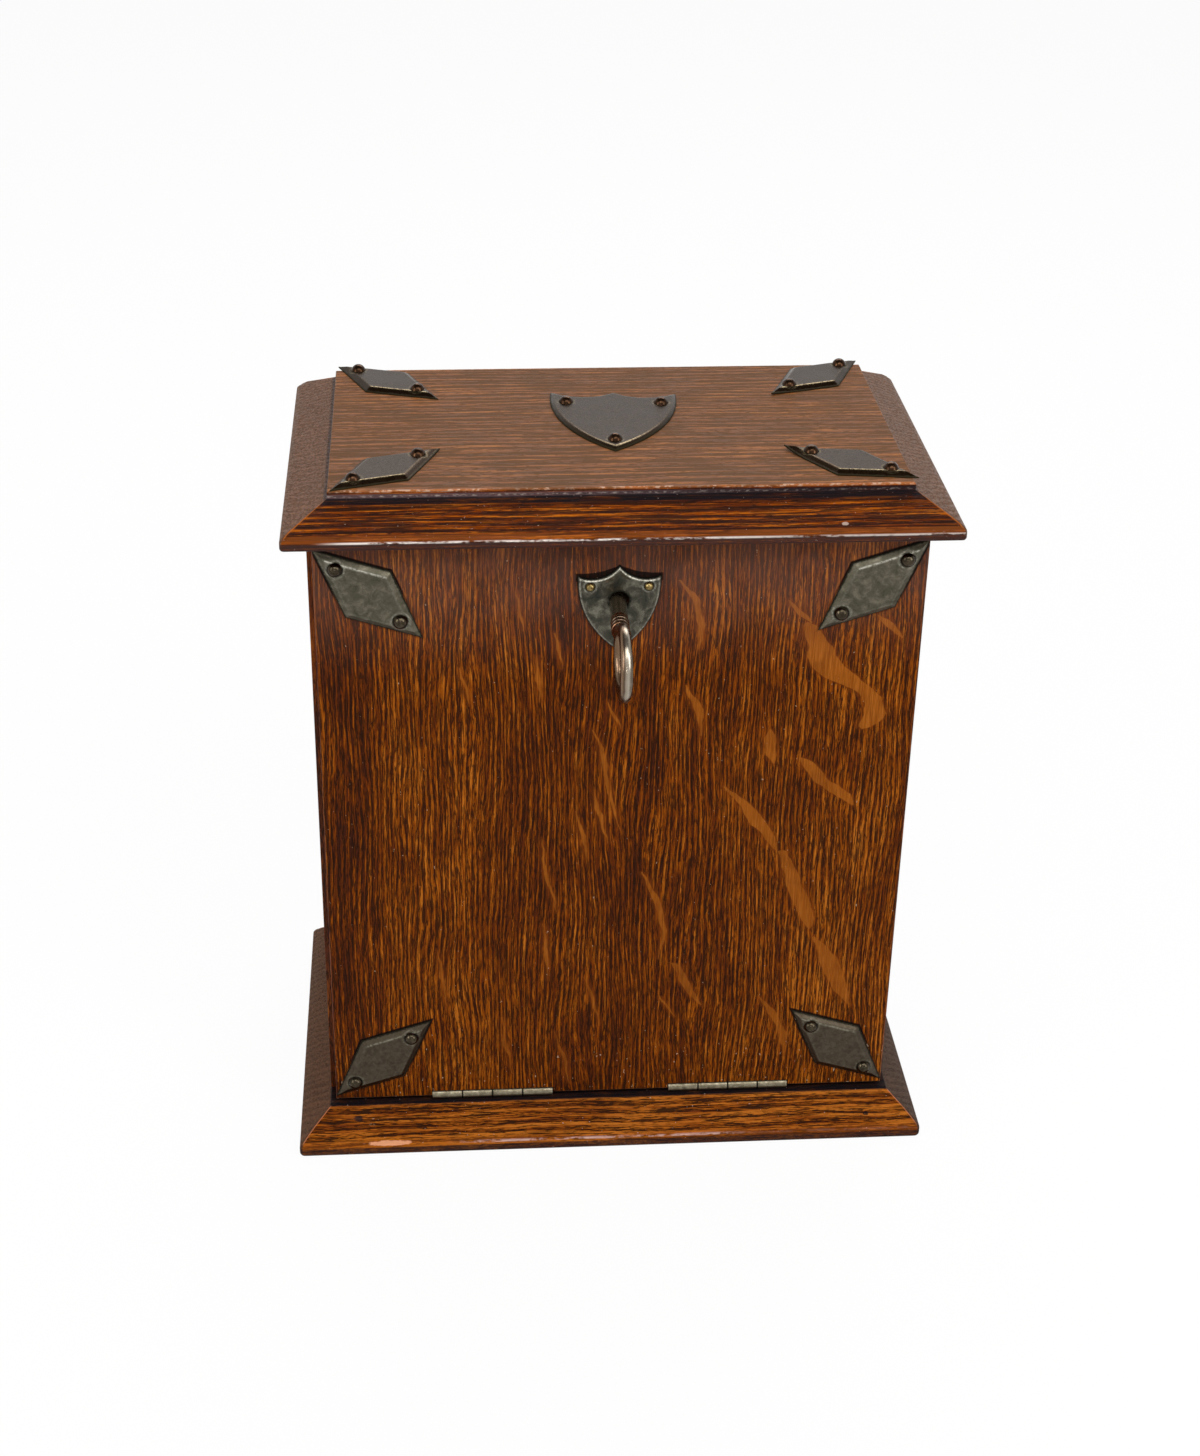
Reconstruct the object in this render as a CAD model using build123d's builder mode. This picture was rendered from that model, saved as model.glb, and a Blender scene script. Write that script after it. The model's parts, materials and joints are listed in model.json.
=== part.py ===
from build123d import *
from math import hypot
import os

os.makedirs("parts", exist_ok=True)

# All sizes in mm. X runs from left to right, Y from front to back, Z up.
# The origin is the centre of the base board's underside.

# Carcass and fall
fall_width = 228.0
fall_height = 256.7
fall_thickness = 10.0
fall_arris = 1.2
fall_reveal = 2.4
fall_foot_gap = 1.6
fall_head_gap = 0.6
fall_seat_gap = 0.3
body_depth = 128.0
side_thickness = 9.0
back_thickness = 9.0
back_rebate = 4.5

# Base board
base_overhang_side = 12.8
base_overhang_front = 14.8
base_overhang_back = 12.6
base_nose = 5.7
base_bevel_rise = 10.2
base_bevel_run = 13.0
nose_round = 1.4
foot_round = 0.8

# Lid board
lid_overhang_side = 8.4
lid_overhang_front = 10.8
lid_overhang_back = 13.6
lid_nose = 4.8
lid_bevel_rise = 8.8
lid_bevel_side = 17.0
lid_bevel_front = 16.0
lid_step = 2.8
lid_field_round = 0.7
lid_seat_gap = 0.3

# Letter rack
rack_thickness = 4.0
rack_groove = 3.0
rack_fit = 0.1
rack_round = 1.5
rail_gap = 1.5
rail_height = 42.0
front_divider_height = 92.0
divider_step = 42.0
divider_names = ("front_divider", "middle_divider", "rear_divider")

# Butt hinges
hinge_length = 50.0
knuckle_pairs = 2
knuckle_radius = 2.0
knuckle_gap = 0.2
hinge_pin_radius = 0.9
hinge_pin_fit = 0.05
hinge_clearance = 0.3
leaf_thickness = 1.1
leaf_edge = 0.6
fall_hinge_offset = 49.2
fall_hinge_inset = 1.0
base_leaf_width = 12.0
lid_hinge_offset = 62.0
lid_leaf_margin = 2.3
leaf_screw_pitch = 18.0

# Countersunk screws
screw_radius = 1.1
screw_head_radius = 2.2
screw_head_height = 1.1
screw_slot_width = 0.5
screw_slot_depth = 0.4
screw_fit = 0.05
leaf_screw_length = 9.0
base_screw_radius = 1.8
base_screw_head_radius = 3.6
base_screw_head_height = 2.2
base_screw_grip = 14.0
base_screw_sink = 0.4
base_screw_end = 20.0
base_screw_back_offset = 70.0

# Diamond corner mounts
mount_long = 54.4
mount_short = 25.4
mount_rim = 0.5
mount_height = 1.9
mount_bevel = 2.2
mount_sheet = 0.5
mount_pin_edge = 11.2
fall_mount_tilt = 43.0
fall_mount_inset_side = 20.0
fall_mount_inset_top = 22.0
fall_mount_inset_foot = 20.9
lid_mount_inset_side = 21.2
lid_mount_inset_front = 18.3
lid_mount_inset_back = 15.2
lid_mount_tilt = 42.0
lid_mount_skew = 10.0

# Round-headed pins
pin_head_radius = 2.85
pin_head_height = 2.3
pin_shank_radius = 0.8
pin_grip = 7.0
pin_fit = 0.05
pin_point = 0.4
small_pin_head_radius = 1.75
small_pin_head_height = 1.3
small_pin_shank_radius = 0.5

# Shield on the lid
shield_half_width = 24.9
shield_drop = 57.4
shield_dip = 5.4
shield_waist_drop = 31.0
shield_waist_half_width = 19.9
shield_offset_x = 1.4
shield_offset_y = 1.2
shield_turn = -3.5
shield_height = 1.7
shield_bevel = 1.5
shield_pin_edge = 6.2
shield_pin_drop = 11.8
shield_tip_pin_rise = 8.8

# Escutcheon, keyhole and key
lock_offset = -1.2
keyhole_drop = 26.0
keyhole_gap = 0.55
escutcheon_half_width = 15.5
escutcheon_peak = 4.4
escutcheon_dip = 1.2
escutcheon_dip_x = 9.2
escutcheon_drop = 31.2
escutcheon_waist_drop = 17.0
escutcheon_waist_half_width = 12.4
escutcheon_rise = 10.0
escutcheon_height = 1.6
escutcheon_bevel = 1.2
escutcheon_pin_edge = 4.6
escutcheon_pin_drop = 4.2
key_shank_radius = 3.15
key_bore_fit = 0.05
key_bore_depth = 13.0
key_bow_distance = 48.2
key_bow_radius = 12.4
key_bow_wire = 2.0
key_neck_radius = 2.4
key_bead_start = 18.2
key_bead_pitch = 2.7
key_bead_count = 3
key_bead_radius = 0.8
key_bit_reach = 9.0
key_bit_thickness = 2.4
key_bit_length = 3.0
key_bit_gap = 0.4

# Lock on the back of the fall
lock_plate_thickness = 1.2
lock_plate_drop = 2.2
lock_cap_margin = 1.5
lock_cap_wall = 0.8
lock_side_gap = 2.2
lock_foot_gap = 0.9
lock_ear = 7.0
lock_screw_end = 5.0
lock_screw_length = 7.5
drill_pin_radius = 1.45
drill_pin_gap = 2.4
rivet_fit = 0.02

# Sliding bolt and the link plate on the lid, whose staples it passes through
bolt_throw = 7.2
bolt_thickness = 2.2
bolt_play = 0.2
bolt_left = 8.0
bolt_leg_width = 8.0
bolt_leg_rise = 3.7
bolt_pin_play = 0.25
bolt_tab_start = 2.1
bolt_tab_width = 3.0
bolt_tab_height = 2.5
bolt_tab_edge = 1.0
stem_width = 4.0
prong_height = 4.0
prong_thickness = 2.2
prong_set_back = 2.3
staple_start = 12.0
staple_thickness = 2.8
staple_gap = 0.4
staple_drop = 11.1
staple_foot = 2.0
staple_foot_gap = 0.7
staple_front_gap = 0.8
staple_front_wall = 1.0
staple_back_wall = 2.0
tenon_shoulder = 0.6
eye_gap = 0.5
link_plate_length = 44.0
link_plate_border = 1.7
link_plate_thickness = 1.2
link_screw_edge = 4.0

# Places worked out from the sizes above
case_width = fall_width + 2 * fall_reveal
base_width = case_width + 2 * base_overhang_side
base_depth = body_depth + base_overhang_front + base_overhang_back
base_top = base_nose + base_bevel_rise
front_y = base_overhang_front - base_depth / 2
fall_back = front_y + fall_thickness
side_front = fall_back + fall_seat_gap
back_y = front_y + body_depth
back_front = back_y - back_thickness
fall_bottom = base_top + fall_foot_gap
fall_top = fall_bottom + fall_height
lid_bottom = fall_top + fall_head_gap
case_top = lid_bottom - lid_seat_gap
inner_half = case_width / 2 - side_thickness
lid_width = case_width + 2 * lid_overhang_side
lid_depth = body_depth + lid_overhang_front + lid_overhang_back
lid_centre = front_y - lid_overhang_front + lid_depth / 2
lid_nose_top = lid_bottom + lid_nose
lid_step_foot = lid_nose_top + lid_bevel_rise
lid_top = lid_step_foot + lid_step
field_width = lid_width - 2 * lid_bevel_side
field_depth = lid_depth - 2 * lid_bevel_front
BOTTOM_UP = (Align.CENTER, Align.CENTER, Align.MIN)

# Hinge frames: x along the pin, y over the leaf, z towards the wood that the leaf is screwed to
fall_axis_y = front_y + fall_hinge_inset
fall_axis_z = base_top + knuckle_radius + hinge_clearance
fall_leaf_lift = knuckle_radius + hinge_clearance - leaf_thickness
fall_leaf_width = fall_thickness - fall_hinge_inset - leaf_edge
lid_axis_y = back_y + knuckle_radius + hinge_clearance
lid_axis_z = lid_bottom - lid_seat_gap / 2
lid_leaf_lift = lid_seat_gap / 2
lid_leaf_width = lid_axis_y - back_front - lid_leaf_margin
hinge_sides = (("left", -1), ("right", 1))
base_leaf_frames = {
    name: Plane((side * fall_hinge_offset, fall_axis_y, fall_axis_z), x_dir=(-1, 0, 0), z_dir=(0, 0, -1))
    for name, side in hinge_sides
}
fall_leaf_frames = {
    name: Plane((side * fall_hinge_offset, fall_axis_y, fall_axis_z), x_dir=(1, 0, 0), z_dir=(0, 0, 1))
    for name, side in hinge_sides
}
case_leaf_frames = {
    name: Plane((side * lid_hinge_offset, lid_axis_y, lid_axis_z), x_dir=(1, 0, 0), z_dir=(0, 0, -1))
    for name, side in hinge_sides
}
lid_leaf_frames = {
    name: Plane((side * lid_hinge_offset, lid_axis_y, lid_axis_z), x_dir=(-1, 0, 0), z_dir=(0, 0, 1))
    for name, side in hinge_sides
}


def leaf_screw_places(frames, lift, width):
    """Where a leaf's screws start, with z pointing into the wood."""
    row = (width + knuckle_radius + hinge_clearance) / 2
    return [
        frame.location * Location((place * leaf_screw_pitch, row, lift))
        for frame in frames.values()
        for place in (-1, 0, 1)
    ]


base_leaf_screws = leaf_screw_places(base_leaf_frames, fall_leaf_lift, base_leaf_width)
fall_leaf_screws = leaf_screw_places(fall_leaf_frames, fall_leaf_lift, fall_leaf_width)
case_leaf_screws = leaf_screw_places(case_leaf_frames, lid_leaf_lift, lid_leaf_width)
lid_leaf_screws = leaf_screw_places(lid_leaf_frames, lid_leaf_lift, lid_leaf_width)

# Screws up through the base board into the sides, outside their grooves, and into the back
side_screw_x = case_width / 2 - (side_thickness - rack_groove) / 2
base_screw_rows = (side_front + base_screw_end, (side_front + back_front) / 2, back_front - base_screw_end)
base_screw_places = [
    Location((side * side_screw_x, row, base_screw_sink)) for side in (-1, 1) for row in base_screw_rows
]
base_screw_places += [
    Location((place * base_screw_back_offset, back_y - back_thickness / 2, base_screw_sink))
    for place in (-1, 0, 1)
]
base_screw_length = base_top - base_screw_sink + base_screw_grip

# Mount frames: x along the long diagonal, z out of the wood
fall_mount_frames = {
    f"fall_mount_{level}_{name}": Plane(
        (side * (fall_width / 2 - fall_mount_inset_side), front_y, height),
        x_dir=Vector(1, 0, 0).rotate(Axis.Y, -side * climb * fall_mount_tilt),
        z_dir=(0, -1, 0),
    )
    for name, side in hinge_sides
    for level, climb, height in (
        ("top", 1, fall_top - fall_mount_inset_top),
        ("foot", -1, fall_bottom + fall_mount_inset_foot),
    )
}
lid_mount_turns = {
    "lid_mount_front_left": lid_mount_tilt,
    "lid_mount_front_right": -lid_mount_tilt + lid_mount_skew,
    "lid_mount_back_left": -lid_mount_tilt,
    "lid_mount_back_right": lid_mount_tilt,
}
lid_mount_spots = {
    "lid_mount_front_left": (-1, -field_depth / 2 + lid_mount_inset_front),
    "lid_mount_front_right": (1, -field_depth / 2 + lid_mount_inset_front),
    "lid_mount_back_left": (-1, field_depth / 2 - lid_mount_inset_back),
    "lid_mount_back_right": (1, field_depth / 2 - lid_mount_inset_back),
}
lid_mount_frames = {
    name: Plane(
        (side * (field_width / 2 - lid_mount_inset_side), lid_centre + row, lid_top),
        x_dir=Vector(1, 0, 0).rotate(Axis.Z, lid_mount_turns[name]),
        z_dir=(0, 0, 1),
    )
    for name, (side, row) in lid_mount_spots.items()
}


def pin_places(frames, height):
    """Two pins on each mount's long diagonal, at the height of its flat middle."""
    return [
        frame.location * Location((end * (mount_long / 2 - mount_pin_edge), 0, height))
        for frame in frames.values()
        for end in (-1, 1)
    ]


fall_pin_places = pin_places(fall_mount_frames, mount_height)
lid_pin_places = pin_places(lid_mount_frames, mount_height)

# Lid shield frame: the origin is the middle of its top edge
shield_middle = Plane(
    (shield_offset_x, lid_centre + shield_offset_y, lid_top),
    x_dir=Vector(1, 0, 0).rotate(Axis.Z, shield_turn),
    z_dir=(0, 0, 1),
)
shield_frame = Plane(shield_middle.location * Location((0, shield_drop / 2, 0)))
shield_pin_spots = (
    (-shield_half_width + shield_pin_edge, -shield_pin_drop),
    (shield_half_width - shield_pin_edge, -shield_pin_drop),
    (0, -shield_drop + shield_tip_pin_rise),
)
shield_pin_places = [
    shield_frame.location * Location((x, y, shield_height)) for x, y in shield_pin_spots
]

# Lock frames: z comes out of the fall's front, along the key
key_z = fall_top - keyhole_drop
key_frame = Plane((lock_offset, front_y, key_z), x_dir=(1, 0, 0), z_dir=(0, -1, 0))
escutcheon_frame = Plane(
    (lock_offset, front_y, key_z + escutcheon_rise), x_dir=(1, 0, 0), z_dir=(0, -1, 0)
)
escutcheon_pin_reach = escutcheon_half_width - escutcheon_pin_edge
escutcheon_pin_places = [
    escutcheon_frame.location
    * Location((side * escutcheon_pin_reach, -escutcheon_pin_drop, escutcheon_height))
    for side in (-1, 1)
]
plate_back = fall_back + lock_plate_thickness
lock_cap_depth = key_bit_gap + key_bit_length + bolt_thickness + 2 * bolt_play + lock_cap_wall
cap_back = plate_back + lock_cap_depth
cavity_back = cap_back - lock_cap_wall
bit_front = plate_back + key_bit_gap
bit_back = bit_front + key_bit_length
key_bore_radius = drill_pin_radius + key_bore_fit
drill_pin_reach = cap_back - bit_back + key_bore_depth - drill_pin_gap
prong_length = bolt_throw + staple_gap
staple_pitch = staple_thickness + 2 * staple_gap + prong_length + stem_width
staple_lefts = (-staple_start, staple_pitch - staple_start)
bolt_right = 2 * staple_pitch - staple_start - staple_gap
lock_cap_width = 2 * (bolt_right + lock_side_gap + lock_cap_wall)
lock_plate_width = lock_cap_width + 2 * lock_ear
staple_bottom = lid_bottom - staple_drop
cap_top = staple_bottom - staple_foot_gap
cap_bottom = key_z - key_bit_reach - lock_foot_gap - lock_cap_wall
plate_top = fall_top - lock_plate_drop
plate_bottom = cap_bottom - lock_cap_margin
lock_screw_places = [
    Location(
        Plane(
            (lock_offset + side * (lock_plate_width - lock_ear) / 2, plate_back, height),
            x_dir=(1, 0, 0),
            z_dir=(0, -1, 0),
        )
    )
    for side in (-1, 1)
    for height in (plate_bottom + lock_screw_end, plate_top - lock_screw_end)
]
bolt_back = cavity_back - bolt_play
bolt_face = bolt_back - bolt_thickness
bolt_front = plate_back + bolt_play
bolt_shoulder = cap_top - lock_cap_wall - bolt_play
tab_bottom = key_z - key_bit_reach + bolt_tab_edge
prong_front = plate_back + prong_set_back
prong_bottom = staple_bottom + staple_foot + eye_gap
staple_front = plate_back + staple_front_gap
eye_front = staple_front + staple_front_wall
eye_back = prong_front + prong_thickness + eye_gap
staple_back = eye_back + staple_back_wall
link_middle_y = (staple_front + staple_back) / 2
link_plate_width = staple_back - staple_front + 2 * link_plate_border
link_screw_places = [
    Location((lock_offset + side * (link_plate_length / 2 - link_screw_edge), link_middle_y, lid_bottom))
    for side in (-1, 1)
]


def countersunk_screw(radius, head_radius, head_height, length):
    """Slotted screw from its head's face at the origin, pointing along +Z."""
    with BuildPart() as screw:
        Cone(head_radius, radius, head_height, align=BOTTOM_UP)
        Cylinder(radius, length, align=BOTTOM_UP)
        Box(2 * head_radius, screw_slot_width, screw_slot_depth, align=BOTTOM_UP, mode=Mode.SUBTRACT)
        chamfer(screw.edges().sort_by(Axis.Z)[-1], length=radius / 2)
    return screw.part


def round_pin(head_radius, head_height, shank_radius, shank_length):
    """Round-headed pin with its head's seat at the origin and its shank along -Z."""
    with BuildPart() as pin:
        with BuildSketch(Plane.XZ):
            with BuildLine():
                dome = ThreePointArc(
                    (-head_radius, 0), (0, head_height), (head_radius, 0)
                )
                Line(dome @ 1, dome @ 0)
            make_face()
            with Locations((-head_radius, 0)):
                Rectangle(2 * head_radius, 2 * head_height, mode=Mode.SUBTRACT)
        revolve(axis=Axis.Z)
        Cylinder(
            shank_radius, shank_length, align=(Align.CENTER, Align.CENTER, Align.MAX)
        )
        chamfer(pin.edges().sort_by(Axis.Z)[0], length=pin_point)
    return pin.part


leaf_screw = countersunk_screw(screw_radius, screw_head_radius, screw_head_height, leaf_screw_length)
lock_screw = countersunk_screw(screw_radius, screw_head_radius, screw_head_height, lock_screw_length)
base_screw = countersunk_screw(
    base_screw_radius, base_screw_head_radius, base_screw_head_height, base_screw_length
)
mount_pin = round_pin(pin_head_radius, pin_head_height, pin_shank_radius, pin_grip + mount_height)
small_pin = round_pin(
    small_pin_head_radius, small_pin_head_height, small_pin_shank_radius, pin_grip
)


def bore_screws(places, radius, length):
    """Clearance for screw shanks in the part being built."""
    with Locations(*places):
        Cylinder(radius + screw_fit, length + screw_fit, align=BOTTOM_UP, mode=Mode.SUBTRACT)


def sink_screws(places, radius, head_radius, head_height, length):
    """Countersinks and shank holes in the part being built."""
    with Locations(*places):
        Cone(
            head_radius + screw_fit, radius + screw_fit, head_height, align=BOTTOM_UP, mode=Mode.SUBTRACT
        )
    bore_screws(places, radius, length)


def bore_pins(places, radius, length):
    """Holes for pin shanks, measured down from the pins' heads."""
    with Locations(*places):
        Cylinder(
            radius + pin_fit,
            length + pin_fit,
            align=(Align.CENTER, Align.CENTER, Align.MAX),
            mode=Mode.SUBTRACT,
        )


def keyhole():
    """Keyhole outline in the sketch being drawn: a round with the bit's slot below it."""
    Circle(key_shank_radius + keyhole_gap)
    with Locations((0, -(key_bit_reach + keyhole_gap) / 2)):
        Rectangle(key_bit_thickness + 2 * keyhole_gap, key_bit_reach + keyhole_gap)


# Base board: a rounded nose under a wide bevel, all round
with BuildPart() as base_board:
    with BuildSketch():
        Rectangle(base_width, base_depth)
    extrude(amount=base_nose)
    with BuildSketch(Plane.XY.offset(base_nose)):
        Rectangle(base_width, base_depth)
    with BuildSketch(Plane.XY.offset(base_top)):
        Rectangle(base_width - 2 * base_bevel_run, base_depth - 2 * base_bevel_run)
    loft()
    fillet(base_board.faces().sort_by(Axis.Z)[0].edges(), radius=foot_round)
    nose_edges = base_board.edges().filter_by(
        lambda edge: abs(edge.center().Z - base_nose) < nose_round / 2
    )
    fillet(nose_edges, radius=nose_round)
    with Locations(*base_screw_places):
        Cylinder(
            base_screw_head_radius + screw_fit, 2 * base_screw_sink, mode=Mode.SUBTRACT
        )
    sink_screws(
        base_screw_places,
        base_screw_radius,
        base_screw_head_radius,
        base_screw_head_height,
        base_screw_length,
    )
    sink_screws(
        base_leaf_screws, screw_radius, screw_head_radius, screw_head_height, leaf_screw_length
    )
base_board.part.label = "base_board"
export_step(base_board.part, "parts/base_board.step")

with BuildPart() as base_screws:
    with Locations(*base_screw_places):
        add(base_screw)
base_screws.part.label = "base_screws"
export_step(base_screws.part, "parts/base_screws.step")

# Letter rack: a low rail in front of three dividers, each higher than the one before it
rail_front = fall_axis_y + base_leaf_width + rail_gap
rack_pitch = (back_front - rail_front) / (len(divider_names) + 1)
rack_heights = [rail_height] + [
    front_divider_height + step * divider_step for step in range(len(divider_names))
]
rack_boards = [
    (name, rail_front + place * rack_pitch, rack_heights[place])
    for place, name in enumerate(("front_rail",) + divider_names)
]
rack_width = 2 * (inner_half + rack_groove - rack_fit)

for rack_name, rack_front, rack_height in rack_boards:
    with BuildPart() as rack_board:
        with BuildSketch(Plane.XY.offset(base_top)):
            with Locations((0, rack_front + rack_thickness / 2)):
                Rectangle(rack_width, rack_thickness)
        extrude(amount=rack_height)
        fillet(
            rack_board.faces().sort_by(Axis.Z)[-1].edges().filter_by(Axis.X), radius=rack_round
        )
    rack_board.part.label = rack_name
    export_step(rack_board.part, f"parts/{rack_name}.step")

# Sides: grooved for the rack and rebated for the back
with BuildPart() as right_side:
    with BuildSketch(Plane.XY.offset(base_top)):
        with Locations((inner_half, side_front)):
            Rectangle(side_thickness, back_y - side_front, align=(Align.MIN, Align.MIN))
    extrude(amount=case_top - base_top)
    with BuildSketch(Plane.XY.offset(base_top)):
        with Locations((inner_half, back_front)):
            Rectangle(back_rebate, back_thickness, align=(Align.MIN, Align.MIN))
    extrude(amount=case_top - base_top, mode=Mode.SUBTRACT)
    for rack_name, rack_front, rack_height in rack_boards:
        with BuildSketch(Plane.XY.offset(base_top)):
            with Locations((inner_half, rack_front - rack_fit)):
                Rectangle(rack_groove, rack_thickness + 2 * rack_fit, align=(Align.MIN, Align.MIN))
        extrude(amount=rack_height + rack_fit, mode=Mode.SUBTRACT)
    bore_screws(base_screw_places, base_screw_radius, base_screw_length)
right_side.part.label = "right_side"
export_step(right_side.part, "parts/right_side.step")

with BuildPart() as left_side:
    mirror(right_side.part, about=Plane.YZ)
left_side.part.label = "left_side"
export_step(left_side.part, "parts/left_side.step")

# Back: let into the sides, with the lid hinges' leaves let into its top edge
leaf_recess_length = hinge_length + 2 * hinge_clearance
with BuildPart() as back_panel:
    with BuildSketch(Plane.XY.offset(base_top)):
        with Locations((0, back_y - back_thickness / 2)):
            Rectangle(2 * (inner_half + back_rebate), back_thickness)
    extrude(amount=case_top - base_top)
    with Locations(*[frame.location for frame in case_leaf_frames.values()]):
        Box(
            leaf_recess_length,
            2 * (lid_leaf_width + leaf_edge),
            2 * (lid_leaf_lift + leaf_thickness),
            mode=Mode.SUBTRACT,
        )
    sink_screws(
        case_leaf_screws, screw_radius, screw_head_radius, screw_head_height, leaf_screw_length
    )
    bore_screws(base_screw_places, base_screw_radius, base_screw_length)
back_panel.part.label = "back_panel"
export_step(back_panel.part, "parts/back_panel.step")

# Fall: overlays the sides' front edges and hinges at its foot
pin_depth = pin_grip + mount_height
with BuildPart() as fall_panel:
    with BuildSketch(Plane.XY.offset(fall_bottom)):
        with Locations((0, front_y + fall_thickness / 2)):
            Rectangle(fall_width, fall_thickness)
    extrude(amount=fall_height)
    fillet(fall_panel.faces().sort_by(Axis.Y)[0].edges(), radius=fall_arris)
    with Locations(*[frame.location for frame in fall_leaf_frames.values()]):
        Box(
            leaf_recess_length,
            2 * fall_thickness,
            2 * (knuckle_radius + hinge_clearance),
            mode=Mode.SUBTRACT,
        )
    with BuildSketch(key_frame):
        keyhole()
    extrude(amount=-fall_thickness, mode=Mode.SUBTRACT)
    bore_pins(fall_pin_places, pin_shank_radius, pin_depth)
    bore_pins(escutcheon_pin_places, small_pin_shank_radius, pin_grip)
    sink_screws(
        fall_leaf_screws, screw_radius, screw_head_radius, screw_head_height, leaf_screw_length
    )
    sink_screws(
        lock_screw_places, screw_radius, screw_head_radius, screw_head_height, lock_screw_length
    )
fall_panel.part.label = "fall_panel"
export_step(fall_panel.part, "parts/fall_panel.step")

# Lid: rounded nose, wide bevel and a small step up to the flat field, all round
with BuildPart() as lid_board:
    with BuildSketch(Plane.XY.offset(lid_bottom)):
        with Locations((0, lid_centre)):
            Rectangle(lid_width, lid_depth)
    extrude(amount=lid_nose)
    with BuildSketch(Plane.XY.offset(lid_nose_top)):
        with Locations((0, lid_centre)):
            Rectangle(lid_width, lid_depth)
    with BuildSketch(Plane.XY.offset(lid_step_foot)):
        with Locations((0, lid_centre)):
            Rectangle(field_width, field_depth)
    loft()
    with BuildSketch(Plane.XY.offset(lid_step_foot)):
        with Locations((0, lid_centre)):
            Rectangle(field_width, field_depth)
    extrude(amount=lid_step)
    fillet(lid_board.faces().sort_by(Axis.Z)[-1].edges(), radius=lid_field_round)
    fillet(lid_board.faces().sort_by(Axis.Z)[0].edges(), radius=foot_round)
    nose_edges = lid_board.edges().filter_by(
        lambda edge: abs(edge.center().Z - lid_nose_top) < nose_round / 2
    )
    fillet(nose_edges, radius=nose_round)
    with Locations(*[frame.location for frame in lid_leaf_frames.values()]):
        Box(
            leaf_recess_length,
            2 * (lid_leaf_width + leaf_edge),
            2 * (lid_leaf_lift + leaf_thickness),
            mode=Mode.SUBTRACT,
        )
        Box(
            leaf_recess_length,
            2 * (knuckle_radius + hinge_clearance),
            2 * (knuckle_radius + hinge_clearance),
            mode=Mode.SUBTRACT,
        )
    with Locations((lock_offset, link_middle_y, lid_bottom)):
        Box(link_plate_length, link_plate_width, 2 * link_plate_thickness, mode=Mode.SUBTRACT)
    sink_screws(
        link_screw_places, screw_radius, screw_head_radius, screw_head_height, lock_screw_length
    )
    sink_screws(
        lid_leaf_screws, screw_radius, screw_head_radius, screw_head_height, leaf_screw_length
    )
    bore_pins(lid_pin_places, pin_shank_radius, pin_depth)
    bore_pins(shield_pin_places, pin_shank_radius, pin_depth)
lid_board.part.label = "lid_board"
export_step(lid_board.part, "parts/lid_board.step")

# Butt hinges: every leaf carries alternate knuckles from the left of its own frame, so two leaves mesh
knuckle_count = 2 * knuckle_pairs
knuckle_pitch = hinge_length / knuckle_count
knuckle_length = knuckle_pitch - knuckle_gap
leaf_start = knuckle_radius + hinge_clearance
leaf_sets = (
    ("base_leaf", base_leaf_frames, base_leaf_screws, fall_leaf_lift, base_leaf_width),
    ("fall_leaf", fall_leaf_frames, fall_leaf_screws, fall_leaf_lift, fall_leaf_width),
    ("case_leaf", case_leaf_frames, case_leaf_screws, lid_leaf_lift, lid_leaf_width),
    ("lid_leaf", lid_leaf_frames, lid_leaf_screws, lid_leaf_lift, lid_leaf_width),
)
for leaf_name, frames, screw_places, lift, width in leaf_sets:
    for side_name, frame in frames.items():
        knuckle_starts = [
            frame.location
            * Location((-hinge_length / 2 + place * knuckle_pitch + knuckle_gap / 2, 0, 0))
            for place in range(0, knuckle_count, 2)
        ]
        with BuildPart() as leaf:
            with Locations(frame.location * Location((0, leaf_start, lift))):
                Box(
                    hinge_length,
                    width - leaf_start,
                    leaf_thickness,
                    align=(Align.CENTER, Align.MIN, Align.MIN),
                )
            with Locations(*knuckle_starts):
                Cylinder(knuckle_radius, knuckle_length, rotation=(0, 90, 0), align=BOTTOM_UP)
                with Locations((0, 0, lift)):
                    Box(knuckle_length, leaf_start, leaf_thickness, align=(Align.MIN, Align.MIN, Align.MIN))
                Cylinder(
                    hinge_pin_radius + hinge_pin_fit,
                    knuckle_length,
                    rotation=(0, 90, 0),
                    align=BOTTOM_UP,
                    mode=Mode.SUBTRACT,
                )
            sink_screws(
                screw_places, screw_radius, screw_head_radius, screw_head_height, leaf_screw_length
            )
        leaf.part.label = f"{leaf_name}_{side_name}"
        export_step(leaf.part, f"parts/{leaf_name}_{side_name}.step")

with BuildPart() as fall_hinge_pins:
    with Locations(*[frame.location for frame in fall_leaf_frames.values()]):
        Cylinder(hinge_pin_radius, hinge_length, rotation=(0, 90, 0))
fall_hinge_pins.part.label = "fall_hinge_pins"
export_step(fall_hinge_pins.part, "parts/fall_hinge_pins.step")

with BuildPart() as lid_hinge_pins:
    with Locations(*[frame.location for frame in lid_leaf_frames.values()]):
        Cylinder(hinge_pin_radius, hinge_length, rotation=(0, 90, 0))
lid_hinge_pins.part.label = "lid_hinge_pins"
export_step(lid_hinge_pins.part, "parts/lid_hinge_pins.step")

for leaf_name, frames, screw_places, lift, width in leaf_sets:
    with BuildPart() as leaf_screws:
        with Locations(*screw_places):
            add(leaf_screw)
    leaf_screws.part.label = f"{leaf_name}_screws"
    export_step(leaf_screws.part, f"parts/{leaf_name}_screws.step")


# Corner mounts: pressed diamonds with a raised flat middle, hollow behind
def diamond(inset):
    """Diamond outline in the sketch being drawn, its sides moved in by inset."""
    long_half = mount_long / 2
    short_half = mount_short / 2
    shrink = 1 - inset * hypot(long_half, short_half) / (long_half * short_half)
    Polygon(
        (long_half * shrink, 0),
        (0, short_half * shrink),
        (-long_half * shrink, 0),
        (0, -short_half * shrink),
        align=None,
    )


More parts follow.
